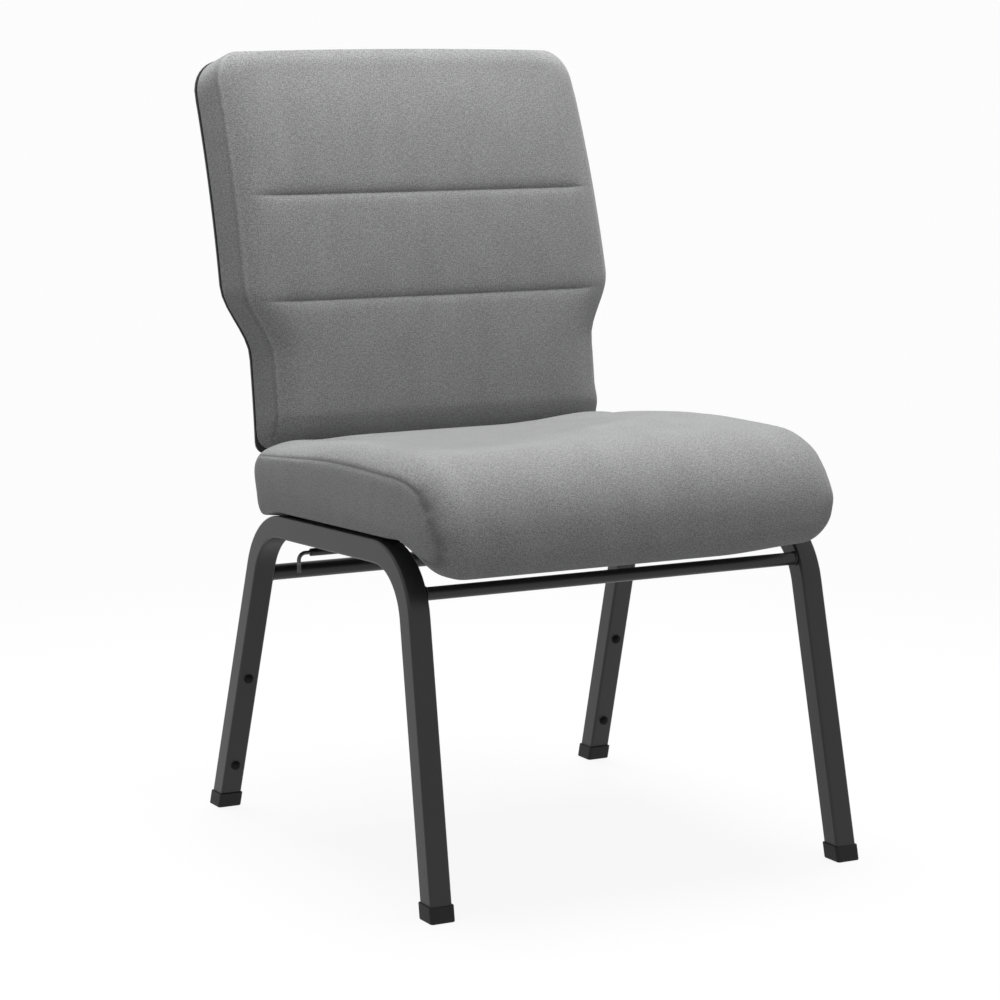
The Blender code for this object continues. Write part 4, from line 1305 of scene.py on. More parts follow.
@dataclass
class SeatCushion(Pad):
    """Waterfall seat: one panel runs from the rear over the top and nose, with a boxed panel at each side.

    Its lengths are in the plane of the rail tops. A pair by side gives the sitter's right first. A seam's
    pairs give a value, and what is added to it at the gathered front corners.
    """

    name: ClassVar[str] = "seat_cushion"
    stands_for: ClassVar[tuple[str, ...]] = ("seat_cover", "seat_foam")
    fill: ClassVar[float] = 0.9
    swell_cap: ClassVar[float] = 0.0032
    home: ClassVar[Matrix] = LINES.seat_plane

    half_width: float = 0.248
    corners: tuple[Point3, ...] = (
        (0.198, 0.0003, 0.043), (0.198, 0.087, 0.043), (-0.030, 0.0985, 1.500), (-0.2615, 0.0895, 0.100),
        (-0.2735, -0.0315, 0.022), (-0.219, -0.0315, 0.034), (-0.165, 0.0003, 0.034))
    core: tuple[Point2, Point2] = ((-0.218, 0.012), (0.150, 0.040))
    top_drop: float = 0.025
    nose_drop: float = 0.016
    rear_drop: float = 0.018
    base_drop: float = 0.004
    heel_drop: float = 0.016
    keel_drop: Pair = (0.021, 0.026)
    keel: Zone = Zone(-0.162, -0.06)
    side_pull: Pair = (1.0, 0.88)
    edge_run: Pair = (0.033, 0.025)
    rear_half: Zone = Zone(-0.06, 0.22)
    crown: float = 0.002
    recess: float = 0.0034
    recess_edge: Zone = Zone(0.0, 0.006)
    lining_half: Pair = (0.210, 0.124)
    droop: float = 0.007
    droop_along: Zone = Zone(0.11, 0.05)
    droop_across: Zone = Zone(0.185, 0.03)
    lift: float = 0.0058
    lift_along: Zone = Zone(-0.150, -0.06)
    lift_across: Zone = Zone(0.10, 0.13)
    lift_up: Zone = Zone(0.045, -0.075)
    nose_taper: float = 0.014
    keel_taper: Pair = (0.012, 0.070)
    taper_along: Zone = Zone(-0.15, -0.11)
    taper_up: Zone = Zone(0.030, -0.058)
    side_bulge: float = 0.0025
    base_edge: Zone = Zone(0.004, 0.03)
    keel_start: float = -0.2
    keel_front: Zone = Zone(-0.19, -0.02)
    keel_edge: Zone = Zone(-0.026, 0.02)
    nose_hold: float = 0.8
    nose: Zone = Zone(-0.12, -0.07)
    side_hold: float = 0.85
    side_edge: float = 0.004
    side_width: float = 0.012
    front_corner: Zone = Zone(-0.205, -0.04)
    corner_base: Zone = Zone(-0.030, 0.02)
    front_seam: Zone = Zone(-0.210, -0.02)
    front_seam_base: Zone = Zone(-0.034, 0.012)
    seam_depth: Pair = (0.0020, 0.0022)
    seam_width: Pair = (0.0022, 0.0075)
    # seam_line and seam_shade: width and strength of the painted shade along the side seams, wider at the
    # front corners.
    seam_line: Pair = (0.0013, 0.0062)
    seam_shade: Pair = (1.0, -0.42)
    pucker: float = 0.25
    pucker_scale: float = 70.0
    gather: Pair = (0.70, 0.20)
    crease_line: tuple[Point2, ...] = ((-0.24, -0.195), (-0.16, -0.197), (-0.10, -0.192), (-0.05, -0.172),
                                       (0.03, -0.110), (0.115, -0.056), (0.16, -0.030), (0.24, -0.010))
    crease_depth: float = 0.0010
    crease_width: float = 0.005
    crease_across: Zone = Zone(-0.10, 0.08)
    hollow: float = 0.0130
    hollow_run: float = 0.22
    hollow_left: Zone = Zone(0.225, -0.19)
    hollow_right: Zone = Zone(-0.250, 0.085)
    hollow_up: Zone = Zone(0.03, 0.05)
    # Painted shade over the hollow behind the crease: its strength, its run from the crease and how that
    # changes across.
    nap: float = 0.17
    nap_run: Pair = (0.005, 0.07)
    nap_across: Zone = Zone(0.06, -0.14)
    row_step: float = 0.0068
    column_step: float = 0.0078
    edge_places: tuple[float, ...] = (0.0, 0.0012, 0.003, 0.006, 0.010, 0.015, 0.021, 0.028, 0.036,
                                      0.045, 0.055)
    edge_end: float = 0.064
    panel_places: tuple[float, ...] = (0.035, 0.09, 0.18, 0.31, 0.48, 0.68, 0.88)
    panel_depth: float = 0.035
    loop: np.ndarray = field(init=False, repr=False)
    reach: np.ndarray = field(init=False, repr=False)
    length: float = field(init=False)

    def __post_init__(self) -> None:
        """Measure the profile."""
        loop = rounded_loop(self.corners)
        loop = np.vstack([loop, loop[:1]])
        reach = np.r_[0.0, np.cumsum(np.linalg.norm(np.diff(loop, axis=0), axis=1))]
        even = np.linspace(0.0, reach[-1], 1200)
        self.loop = np.stack([np.interp(even, reach, loop[:, k]) for k in (0, 1)], axis=1)
        self.reach = np.r_[0.0, np.cumsum(np.linalg.norm(np.diff(self.loop, axis=0), axis=1))]
        self.length = float(self.reach[-1])

    def profile(self, at: float) -> tuple[Vector, Vector]:
        """Point and outward direction of the middle section at a length round it.

        Args:
            at: Length round the section.

        Returns:
            The point and the direction.
        """
        def spot(s: float) -> Vector:
            """Point at a length."""
            return Vector([float(np.interp(s % self.length, self.reach, self.loop[:, k])) for k in (0, 1)])
        ahead = (spot(at + 0.002) - spot(at - 0.002)).normalized()
        return spot(at), Vector((ahead.y, -ahead.x))

    def core_point(self, spot: Vector) -> Vector:
        """Nearest point of the pad's middle line.

        Args:
            spot: Point of the section.

        Returns:
            The point.
        """
        a, b = Vector(self.core[0]), Vector(self.core[1])
        share = (spot - a).dot(b - a) / (b - a).length_squared
        return a.lerp(b, min(max(share, 0.0), 1.0))

    def drop(self, x: float, spot: Vector, out: Vector) -> float:
        """How far the section has drawn in where it meets a side panel.

        Args:
            x: Place across the seat.
            spot: Point of the section.
            out: Its outward direction.

        Returns:
            The distance.
        """
        up, down = max(out.y, 0.0) ** 2, max(-out.y, 0.0) ** 2
        front, rear = max(-out.x, 0.0) ** 2, max(out.x, 0.0) ** 2
        under = self.base_drop + (self.keel_drop[x > 0] - self.base_drop) * self.keel(spot.x)
        return (self.top_drop * up + self.nose_drop * front + self.rear_drop * rear + under * down
                + self.heel_drop * rear * down)

    def wrap_point(self, x: float, at: float) -> Vector:
        """Point of the long panel at a place across the seat and a length round it.

        Args:
            x: Place across the seat.
            at: Length round the section.

        Returns:
            The point.
        """
        spot, out = self.profile(at)
        run = raised(self.edge_run, self.rear_half(spot.x))
        edge = max(1 - (self.half_width - abs(x)) / run, 0.0) ** 2
        pull = self.drop(x, spot, out) * edge * self.side_pull[x > 0]
        inward = self.core_point(spot) - spot
        spot = spot + inward.normalized() * min(pull, 0.9 * inward.length)
        spot = spot + out * self.crown * (1 - (x / self.half_width) ** 2) * max(out.y, 0.0)
        if out.y < -0.9 and spot.y < 0.02:
            inside = min(self.lining_half[0] - abs(x), self.lining_half[1] - abs(spot.x))
            spot.y += self.recess * self.recess_edge(inside)
        if out.y < 0 and spot.x > 0.1:
            spot.y -= self.droop * -out.y * self.droop_along(spot.x) * self.droop_across(abs(x))
        spot.y += self.lift * self.lift_along(spot.x) * self.lift_up(spot.y) * self.lift_across(x)
        return Vector((x * self.narrow(x, spot), spot.x, spot.y))

    def narrow(self, x: float, spot: Vector) -> float:
        """Share of the width that is left towards the nose."""
        taper = self.nose_taper + self.keel_taper[x > 0] * self.taper_up(spot.y)
        return 1 - taper * self.taper_along(spot.x)

    def panel_point(self, rim: Vector, share: float) -> Vector:
        """Point of a side panel, a share of the way from its rim to its middle line.

        Args:
            rim: Point of the rim.
            share: Share of the way.

        Returns:
            The point.
        """
        flat = Vector((rim.y, rim.z)).lerp(self.core_point(Vector((rim.y, rim.z))), share)
        bulge = self.side_bulge * (1 - (1 - share) ** 2)
        width = self.half_width * self.narrow(rim.x, flat) + bulge
        return Vector((math.copysign(width, rim.x), flat.x, flat.y))

    def rest_mesh(self) -> BMesh:
        """Rest shape of the cover with its cloth map, closed.

        Returns:
            The mesh.
        """
        rows = steps_between(0.0, self.length, self.row_step)
        inner = self.half_width - self.edge_end
        columns = [d - self.half_width for d in self.edge_places]
        columns += steps_between(-inner, inner, self.column_step)
        columns += [self.half_width - d for d in reversed(self.edge_places)]
        mesh = panel(columns, rows, lambda column, row: (column, row))
        cloth = self.lay_cloth(mesh)
        gap = mesh.verts.layers.float.new("gap")
        for vert in mesh.verts:
            vert[gap] = self.half_width - abs(vert.co.x)
            vert.co = self.wrap_point(vert.co.x, vert.co.y)
        bmesh.ops.remove_doubles(mesh, verts=mesh.verts, dist=1e-5)
        self.add_panels(mesh, cloth, gap)
        face_out(mesh)
        return mesh

    def add_panels(self, mesh: BMesh, cloth: BMLayerItem,
                   gap: BMLayerItem) -> None:
        """Grow the side panels inwards from the open rims and close them.

        Args:
            mesh: The long panel.
            cloth: Layer of the cloth's map.
            gap: Layer of the distance from the seam.
        """
        rim = [e for e in mesh.edges if e.is_boundary]
        start = {v: v.co.copy() for e in rim for v in e.verts}
        made: list[BMFace] = []
        for share in self.panel_places:
            rim, faces, origin = self.grow(mesh, rim)
            start = {v: start[old] for v, old in origin.items()}
            for vert in start:
                vert.co = self.panel_point(start[vert], share)
                vert[gap] = share * self.panel_depth
            made += faces
        made += self.close(mesh, rim)
        for face in made:
            for loop in face.loops:
                loop[cloth].uv = (loop.vert.co.y, loop.vert.co.z + 2.0)

    def hold(self, spot: Vector) -> float:
        """Share by which the swelling cloth is held: fast at the base, firm along the seams.

        Args:
            spot: Point of the cloth.

        Returns:
            The share.
        """
        base = 1 - self.base_edge(spot.z)
        under = self.keel_front(spot.y) * (1 - self.keel_edge(spot.z))
        from_side = self.half_width - abs(spot.x)
        side = 1.0 if from_side < self.side_edge else bell(from_side, self.side_width)
        nose = self.nose_hold * self.nose(spot.y)
        return min(1.0, max(base if spot.y > self.keel_start else under, self.side_hold * side, nose))

    def hollow_at(self, x: float, y: float, z: float) -> Pair:
        """How far the sat-in hollow behind the crease is pressed down, and the painted shade laid over it.

        Args:
            x: Place across the seat.
            y: Place along it.
            z: Height over it.

        Returns:
            The depth and the shade.
        """
        behind = y - float(np.interp(x, *zip(*self.crease_line)))
        wide = self.hollow_left(x) * self.hollow_right(x) * self.hollow_up(z)
        share = min(max(behind / self.hollow_run, 0.0), 1.0)
        fold = self.crease_depth * math.exp(-abs(behind) / self.crease_width) * self.crease_across(x)
        # Painted shade in the hollow, growing from the crease towards the rear.
        nap = self.nap * ease(behind / raised(self.nap_run, self.nap_across(x)))
        return (self.hollow * share * (2 - share) + fold) * wide, nap * wide

    def stitched(self, mesh: BMesh, vert: BMVert) -> tuple[Vector, float]:
        """Draw the cloth in along the side seams, gathered at the front corners, press in the hollow, paint
        shade on both.

        Args:
            mesh: The cushion.
            vert: One of its points.

        Returns:
            The move and the shade.
        """
        x, y, z = vert.co
        gap = vert[mesh.verts.layers.float["gap"]]
        corner = self.front_corner(y) * self.corner_base(z)
        front = self.front_seam(y)
        sewn = self.front_seam_base(z) * front + self.base_edge(z) * (1 - front)
        gather = self.pucker + (self.gather[x > 0] - self.pucker) * corner
        pucker = 1 + gather * noise.noise(Vector((y * self.pucker_scale, z * self.pucker_scale, x)))
        depth = raised(self.seam_depth, corner) * pucker * sewn
        inward = depth * math.exp(-((gap / raised(self.seam_width, corner)) ** 1.5))
        # Painted shade along the seam, and below it the painted shade of the hollow behind the crease.
        shade = sewn * bell(gap, raised(self.seam_line, corner)) * raised(self.seam_shade, corner)
        sunk, nap = self.hollow_at(x, y, z)
        return vert.normal * -inward - Vector((0, 0, sunk)), shade + nap


@dataclass
class BackCushion(Pad):
    """Curved back pad: a front panel in three sewn channels, boxed to the outer shell.

    It is modelled flat, as (x, height, out), and then bent round the axis of the back.
    """

    name: ClassVar[str] = "back_cushion"
    stands_for: ClassVar[tuple[str, ...]] = ("back_cover", "back_foam")
    fill: ClassVar[float] = 0.8
    swell_cap: ClassVar[float] = 0.0060
    home: ClassVar[Matrix] = LINES.home

    top: float = 0.8665
    bottom: float = 0.4240
    waist: float = 0.2228
    shoulder: float = 0.2515
    top_half: float = 0.2471
    waist_top: float = 0.525
    shoulder_bottom: float = 0.605
    upper_start: float = 0.72
    top_corner: float = 0.033
    bottom_corner: float = 0.013
    rear_corner: float = 0.040
    rear_fall: float = 0.010
    rear: float = 0.0038
    seam_out: float = 0.0310
    taper: float = 0.5
    roll: float = 0.0150
    roll_run: float = 0.036
    rise: float = 0.0150
    rise_run: float = 0.036
    top_run: float = 0.016
    top_lip: float = 0.36
    crown: float = 0.0035
    crown_edge: Zone = Zone(0.0, 0.06)
    top_crown: float = 0.0035
    left_pull: float = 0.0036
    pull_up: Zone = Zone(0.026, 0.045)
    left_flare: float = 0.0030
    flare_up: Zone = Zone(0.051, -0.030)
    lean_out: Zone = Zone(0.0, 0.018)
    channels: tuple[float, ...] = (0.590, 0.708)
    channel_depth: float = 0.0030
    channel_width: float = 0.0042
    # channel_line and channel_shade: width and strength of the painted shade along the channel seams.
    channel_line: float = 0.0010
    channel_shade: float = 0.55
    channel_end: Zone = Zone(0.010, 0.045)
    ripple: float = 0.25
    ripple_width: float = 0.01
    front_start: float = 0.003
    side_turn: float = 0.35
    seam_depth: float = 0.0010
    seam_width: float = 0.0020
    # Strength of the painted shade along the boxing seam.
    seam_shade: float = 0.30
    seam_pucker: float = 0.3
    seam_end: Zone = Zone(0.0, -0.03)
    # A raised lip beside the boxing seam with a painted highlight on it; lip_shade lightens the cloth there.
    lip_rise: float = 0.0004
    lip_gap: float = 0.0024
    lip_width: float = 0.0013
    lip_shade: float = 0.26
    shell_edge: Zone = Zone(0.012, 0.016)
    seam_hold: float = 0.65
    seam_edge: Zone = Zone(0.0, 0.012)
    channel_hold: float = 0.005
    channel_edge: Zone = Zone(0.0, 0.03)
    top_hold: float = 0.9
    top_edge: Zone = Zone(-0.040, 0.030)
    base_hold: float = 0.8
    base_edge: Zone = Zone(0.075, -0.05)
    fine: tuple[float, ...] = (0.0, 0.0012, 0.003, 0.0055, 0.009, 0.014)
    end_places: tuple[float, ...] = (0.0, 0.0004, 0.0014, 0.003, 0.0056, 0.009, 0.0135, 0.019, 0.026)
    end_reach: float = 0.034
    row_step: float = 0.0075
    side_shares: tuple[float, ...] = (0.0, 0.006, 0.015, 0.030, 0.052, 0.080, 0.115, 0.155, 0.200, 0.25)
    middle_share: float = 0.71
    column_step: float = 0.037
    boxing: tuple[Point3, ...] = (
        *((share, 0.0, 0.0) for share in (0.05, 0.13, 0.26, 0.42, 0.58, 0.75, 0.90, 0.965)),
        (0.992, -0.0004, 0.0), (1.0, -0.0018, 0.0), (1.0, -0.0130, 0.0), (1.0, -0.0135, 0.0190))

    def half(self, height: float, inset: float) -> float:
        """Half-width of the pad's outline at a height, drawn in by an inset.

        Args:
            height: Height of the place.
            inset: How far it is drawn in.

        Returns:
            The half-width.
        """
        blend = ease((height - self.waist_top) / (self.shoulder_bottom - self.waist_top))
        rise = min(max((height - self.shoulder_bottom) / (self.top - self.shoulder_bottom), 0.0), 1.0)
        upper = self.shoulder + (self.top_half - self.shoulder) * rise
        width = self.waist + (upper - self.waist) * blend - inset
        ends = (self.top - height, self.top_corner), (height - self.bottom, self.bottom_corner)
        for gap, radius in ends:
            if gap < radius:
                width -= radius - math.sqrt(max(radius ** 2 - (radius - max(gap, 0.0)) ** 2, 0.0))
        return width

    @property
    def seam_inset(self) -> float:
        """How far the boxing seam lies in from the rear outline at the sides."""
        return self.taper * (self.seam_out - self.rear)

    def inside(self, x: float, height: float) -> float:
        """How far a place of the front panel lies inside the boxing seam at its side."""
        return self.half(height, self.seam_inset) - abs(x)

    def seam_at(self, height: float) -> float:
        """How far out the boxing seam lies; the pad rolls back at its base, clear of the seat."""
        return self.seam_out - self.roll * (1 - ease((height - self.bottom) / self.roll_run))

    def front_out(self, x: float, height: float) -> float:
        """How far the front stands out at a place of the front panel.

        Args:
            x: Place across the back.
            height: Height of the place.

        Returns:
            The distance.
        """
        gaps = (self.inside(x, height), min(self.top - height, height - self.bottom))
        side, end = (1 - max(1 - gap / self.rise_run, 0.0) ** 2 for gap in gaps)
        if height > self.shoulder_bottom:
            end = 1 - self.top_lip * max(1 - gaps[1] / self.top_run, 0.0) ** 2
        crown = (1 - (x / self.shoulder) ** 2) * math.prod(self.crown_edge(gap) for gap in gaps)
        return self.seam_at(height) + self.rise * (side * end) + self.crown * crown

    def upper(self, height: float, end: float) -> float:
        """Share of the pad's upper part, up to an end, that lies below a height."""
        return ease((height - self.upper_start) / (end - self.upper_start))

    def rear_spot(self, spot: Vector, out: Vector) -> Vector:
        """Point of the rear outline for one of the boxing seam; the rear is lower along the top.

        Args:
            spot: Point of the seam.
            out: Outward direction there.

        Returns:
            The point.
        """
        bend = self.top - self.top_corner
        low = self.top - self.rear_fall - self.rear_corner
        if spot.y <= bend:
            flat = spot + out * self.seam_inset * abs(out.x)
            flat.y -= (bend - low) * self.upper(spot.y, bend)
            return flat
        inner = self.half(bend, self.seam_inset) - self.top_corner
        outer = inner + self.top_corner + self.seam_inset - self.rear_corner
        over = max(abs(spot.x) - inner, 0.0) / self.top_corner
        side = min(abs(spot.x), inner) * outer / inner + over * self.rear_corner
        rise = (spot.y - bend) / self.top_corner * self.rear_corner
        return Vector((math.copysign(side, spot.x), low + rise))

    def rest_mesh(self) -> BMesh:
        """Rest shape with its cloth map, closed and bent.

        Returns:
            The mesh.
        """
        low, high = self.bottom, self.top
        rows = [low + d for d in self.end_places]
        rows += steps_between(low + self.end_reach, high - self.end_reach, self.row_step)
        rows = around(rows + [high - d for d in reversed(self.end_places)], self.channels, self.fine)
        columns = [-1 + d for d in self.side_shares]
        columns += steps_between(-self.middle_share, self.middle_share, self.column_step)
        columns += [1 - d for d in reversed(self.side_shares)]
        inset = self.seam_inset
        mesh = panel(columns, rows, lambda share, height: (share * self.half(height, inset), height))
        cloth = self.lay_cloth(mesh)
        for vert in mesh.verts:
            vert.co.z = self.front_out(vert.co.x, vert.co.y)
        self.add_boxing(mesh, cloth)
        face_out(mesh)
        for vert in mesh.verts:
            vert.co = self.bent(*vert.co)
        face_out(mesh)
        return mesh

    def add_boxing(self, mesh: BMesh, cloth: BMLayerItem) -> None:
        """Grow the boxing from the seam to the shell, turn it in as a hem and close it.

        Args:
            mesh: The front panel.
            cloth: Layer of the cloth's map.
        """
        rim = [e for e in mesh.edges if e.is_boundary]
        start = {v: v.co.copy() for e in rim for v in e.verts}
        out_of = self.outward(rim, Vector((0, (self.top + self.bottom) / 2)))
        length = self.walked(rim)
        whole = max(length.values())
        for share, inward, forward in self.boxing:
            rim, faces, origin = self.grow(mesh, rim)
            start = {v: start[old] for v, old in origin.items()}
            out_of = {v: out_of[old] for v, old in origin.items()}
            length.update({v: length[old] for v, old in origin.items()})
            for vert, seam in start.items():
                flat = seam.xy.lerp(self.rear_spot(seam.xy, out_of[vert]), share) + out_of[vert] * inward
                vert.co = (*flat, seam.z + share * (self.rear - seam.z) + forward)
            for face in faces:
                far = max(length[v] for v in face.verts)
                for loop in face.loops:
                    at = length[loop.vert]
                    loop[cloth].uv = (at if far - at < 0.5 else at + whole, loop.vert.co.z + 3.0)
        self.close(mesh, rim)

    @staticmethod
    def outward(rim: list[BMEdge], middle: Vector) -> dict[BMVert, Vector]:
        """Outward direction of an outline at each of its points.

        Args:
            rim: Edges of the outline.
            middle: A point inside it.

        Returns:
            The direction by point.
        """
        found: dict[BMVert, Vector] = {}
        for edge in rim:
            a, b = (Vector(vert.co.xy) for vert in edge.verts)
            out = Vector((b.y - a.y, a.x - b.x)).normalized()
            if out.dot(a - middle) < 0:
                out = -out
            for vert in edge.verts:
                found[vert] = found.get(vert, Vector((0, 0))) + out
        return {v: out.normalized() for v, out in found.items()}

    @staticmethod
    def walked(rim: list[BMEdge]) -> dict[BMVert, float]:
        """Length walked round an outline to each of its points.

        Args:
            rim: Edges of the outline.

        Returns:
            The length by point.
        """
        links: dict[BMVert, list[BMVert]] = {}
        for edge in rim:
            a, b = edge.verts
            links.setdefault(a, []).append(b)
            links.setdefault(b, []).append(a)
        here = min(links, key=lambda v: (round(v.co.y, 6), v.co.x))
        found = {here: 0.0}
        while onward := [v for v in links[here] if v not in found]:
            found[onward[0]] = found[here] + (onward[0].co.xy - here.co.xy).length
            here = onward[0]
        return found

    def lean(self, x: float, height: float, out: float) -> float:
        """Sideways move of the sitter's left edge: the cover is pulled in there, and flares at its base.

        Args:
            x: Place across the back.
            height: Height of the place.
            out: Distance of the place from the rear face of the back.

        Returns:
            The move.
        """
        pull = self.left_pull * self.pull_up(height - self.bottom)
        flare = self.left_flare * self.flare_up(height - self.bottom)
        return (flare - pull) * max(x / self.shoulder, 0.0) ** 2 * self.lean_out(out - self.rear)

    def bent(self, x: float, height: float, out: float) -> Vector:
        """Place of a flat point round the back's axis, with a slight crown along the top."""
        crown = self.top_crown * (1 - (x / self.top_half) ** 2) * self.upper(height, self.top)
        return Vector((x + self.lean(x, height, out), LINES.back_y(height + crown, out), height + crown))

    @staticmethod
    def flat(spot: Vector) -> Vector:
        """Flat (x, height, out) coordinates of a bent point."""
        away = math.hypot(LINES.back_axis_y - spot.y, spot.z - LINES.back_axis_z)
        return Vector((spot.x, spot.z, away - LINES.back_radius))

    def hold(self, spot: Vector) -> float:
        """Share by which the cloth is held: at the shell, along the seams, over the top and at the base.

        Args:
            spot: Point of the cloth.

        Returns:
            The share.
        """
        x, height, out = self.flat(spot)
        shell = 1 - self.shell_edge(out)
        edge = self.seam_hold * (1 - self.seam_edge(out - self.seam_at(height)))
        sewn = max(bell(height - channel, self.channel_hold) for channel in self.channels)
        over = self.top_hold * self.top_edge(height - self.top)
        under = self.base_hold * self.base_edge(height - self.bottom)
        return min(1.0, max(shell, edge, sewn * self.channel_edge(self.inside(x, height)), over, under))

    def stitched(self, mesh: BMesh, vert: BMVert) -> tuple[Vector, float]:
        """Draw the cloth in along the channels and boxing seam, with slight puckers, painted shade and a
        painted highlight.

        Args:
            mesh: The cushion; not used here.
            vert: One of its points.

        Returns:
            The move and the shade.
        """
        x, height, out = self.flat(vert.co)
        depth = shade = 0.0
        if out > self.seam_out + self.front_start:
            fade = self.channel_end(self.inside(x, height))
            for channel in self.channels:
                gap = height - channel
                ripple = self.ripple * noise.noise(Vector((x * 55, channel * 9, 0)))
                drawn = 1 + ripple * math.exp(-abs(gap) / self.ripple_width)
                depth += self.channel_depth * math.exp(-abs(gap) / self.channel_width) * drawn * fade
                # Painted shade along the channel seam.
                shade += self.channel_shade * bell(gap, self.channel_line) * fade
        if abs(vert.normal.x) > self.side_turn:
            gap = out - self.seam_at(height)
            close = bell(gap, self.seam_width) * self.seam_end(height - self.top)
            lip = bell(gap - self.lip_gap, self.lip_width) * (1 - close)
            pucker = 1 + self.seam_pucker * noise.noise(Vector((x * 40, height * 60, 2)))
            depth += self.seam_depth * close * pucker - self.lip_rise * lip
            # Painted shade along the boxing seam, and a painted highlight on the lip beside it.
            shade += self.seam_shade * close - self.lip_shade * lip
        return vert.normal * -depth, shade


@dataclass
class OuterShell:
    """Moulded outer back with its four screws."""

    top: float = 0.8572
    bottom: float = 0.415
    grow: float = 0.0007
    wall: float = 0.003
    round_edge: float = 0.0013
    end_places: tuple[float, ...] = (0.0, 0.0003, 0.0012, 0.003, 0.0055, 0.009, 0.0135, 0.019, 0.026)
    end_reach: float = 0.034
    row_step: float = 0.012
    column_count: int = 24
    screw_x: float = 0.165
    screw_heights: Pair = (0.460, 0.680)
    screw_size: Point3 = (0.0045, 0.0020, 0.0022)
    pad: BackCushion = field(default_factory=BackCushion)

    def half(self, height: float) -> float:
        """Half-width of the shell at a height: the pad's rear outline, grown a little.

        Args:
            height: Height of the place.

        Returns:
            The half-width.
        """
        pad, grow = self.pad, self.grow
        outline = replace(pad, top=self.top, bottom=self.bottom, waist=pad.waist + grow,
                          shoulder=pad.shoulder + grow, top_half=pad.top_half + grow,
                          top_corner=pad.rear_corner + grow)
        return outline.half(height, 0.0)

    def build(self) -> None:
        """Make the shell as a bent sheet with its wall and rounded rim, and its screws."""
        low, high = self.bottom, self.top
        rows = [low + d for d in self.end_places]
        rows += steps_between(low + self.end_reach, high - self.end_reach, self.row_step)
        rows += [high - d for d in reversed(self.end_places)]
        columns = steps_between(-1.0, 1.0, 2 / self.column_count)
        mesh = panel(columns, rows, lambda share, height: (share * self.half(height), height))
        face_out(mesh)
        rim = [e for e in mesh.edges if e.is_boundary]
        wall = bmesh.ops.extrude_face_region(mesh, geom=mesh.faces[:] + rim, use_keep_orig=True)["geom"]
        bmesh.ops.translate(mesh, vec=(0, 0, self.wall), verts=only(BMVert, wall))
        face_out(mesh)
        mesh.normal_update()
        corner = [e for e in mesh.edges if len(e.link_faces) == 2 and e.calc_face_angle() > 1.2
                  and abs(e.verts[0].co.z - e.verts[1].co.z) < 1e-6]
        bmesh.ops.bevel(mesh, geom=corner, offset=self.round_edge, segments=3, profile=0.5,
                        affect="EDGES", material=-1, clamp_overlap=True)
        for vert in mesh.verts:
            x, height, out = vert.co
            vert.co = (x, LINES.back_y(height, out) + LINES.shift, height)
        face_out(mesh)
        finished(mesh, "outer_back", ShellPlastic(), ["back_shell"])
        screw_set("outer_back_screw", "shell_screw", BLACK_OXIDE, self.screw_size,
                  [LINES.back_place(side * self.screw_x, height, -LINES.clearance)
                   for height in self.screw_heights for side in (-1, 1)])


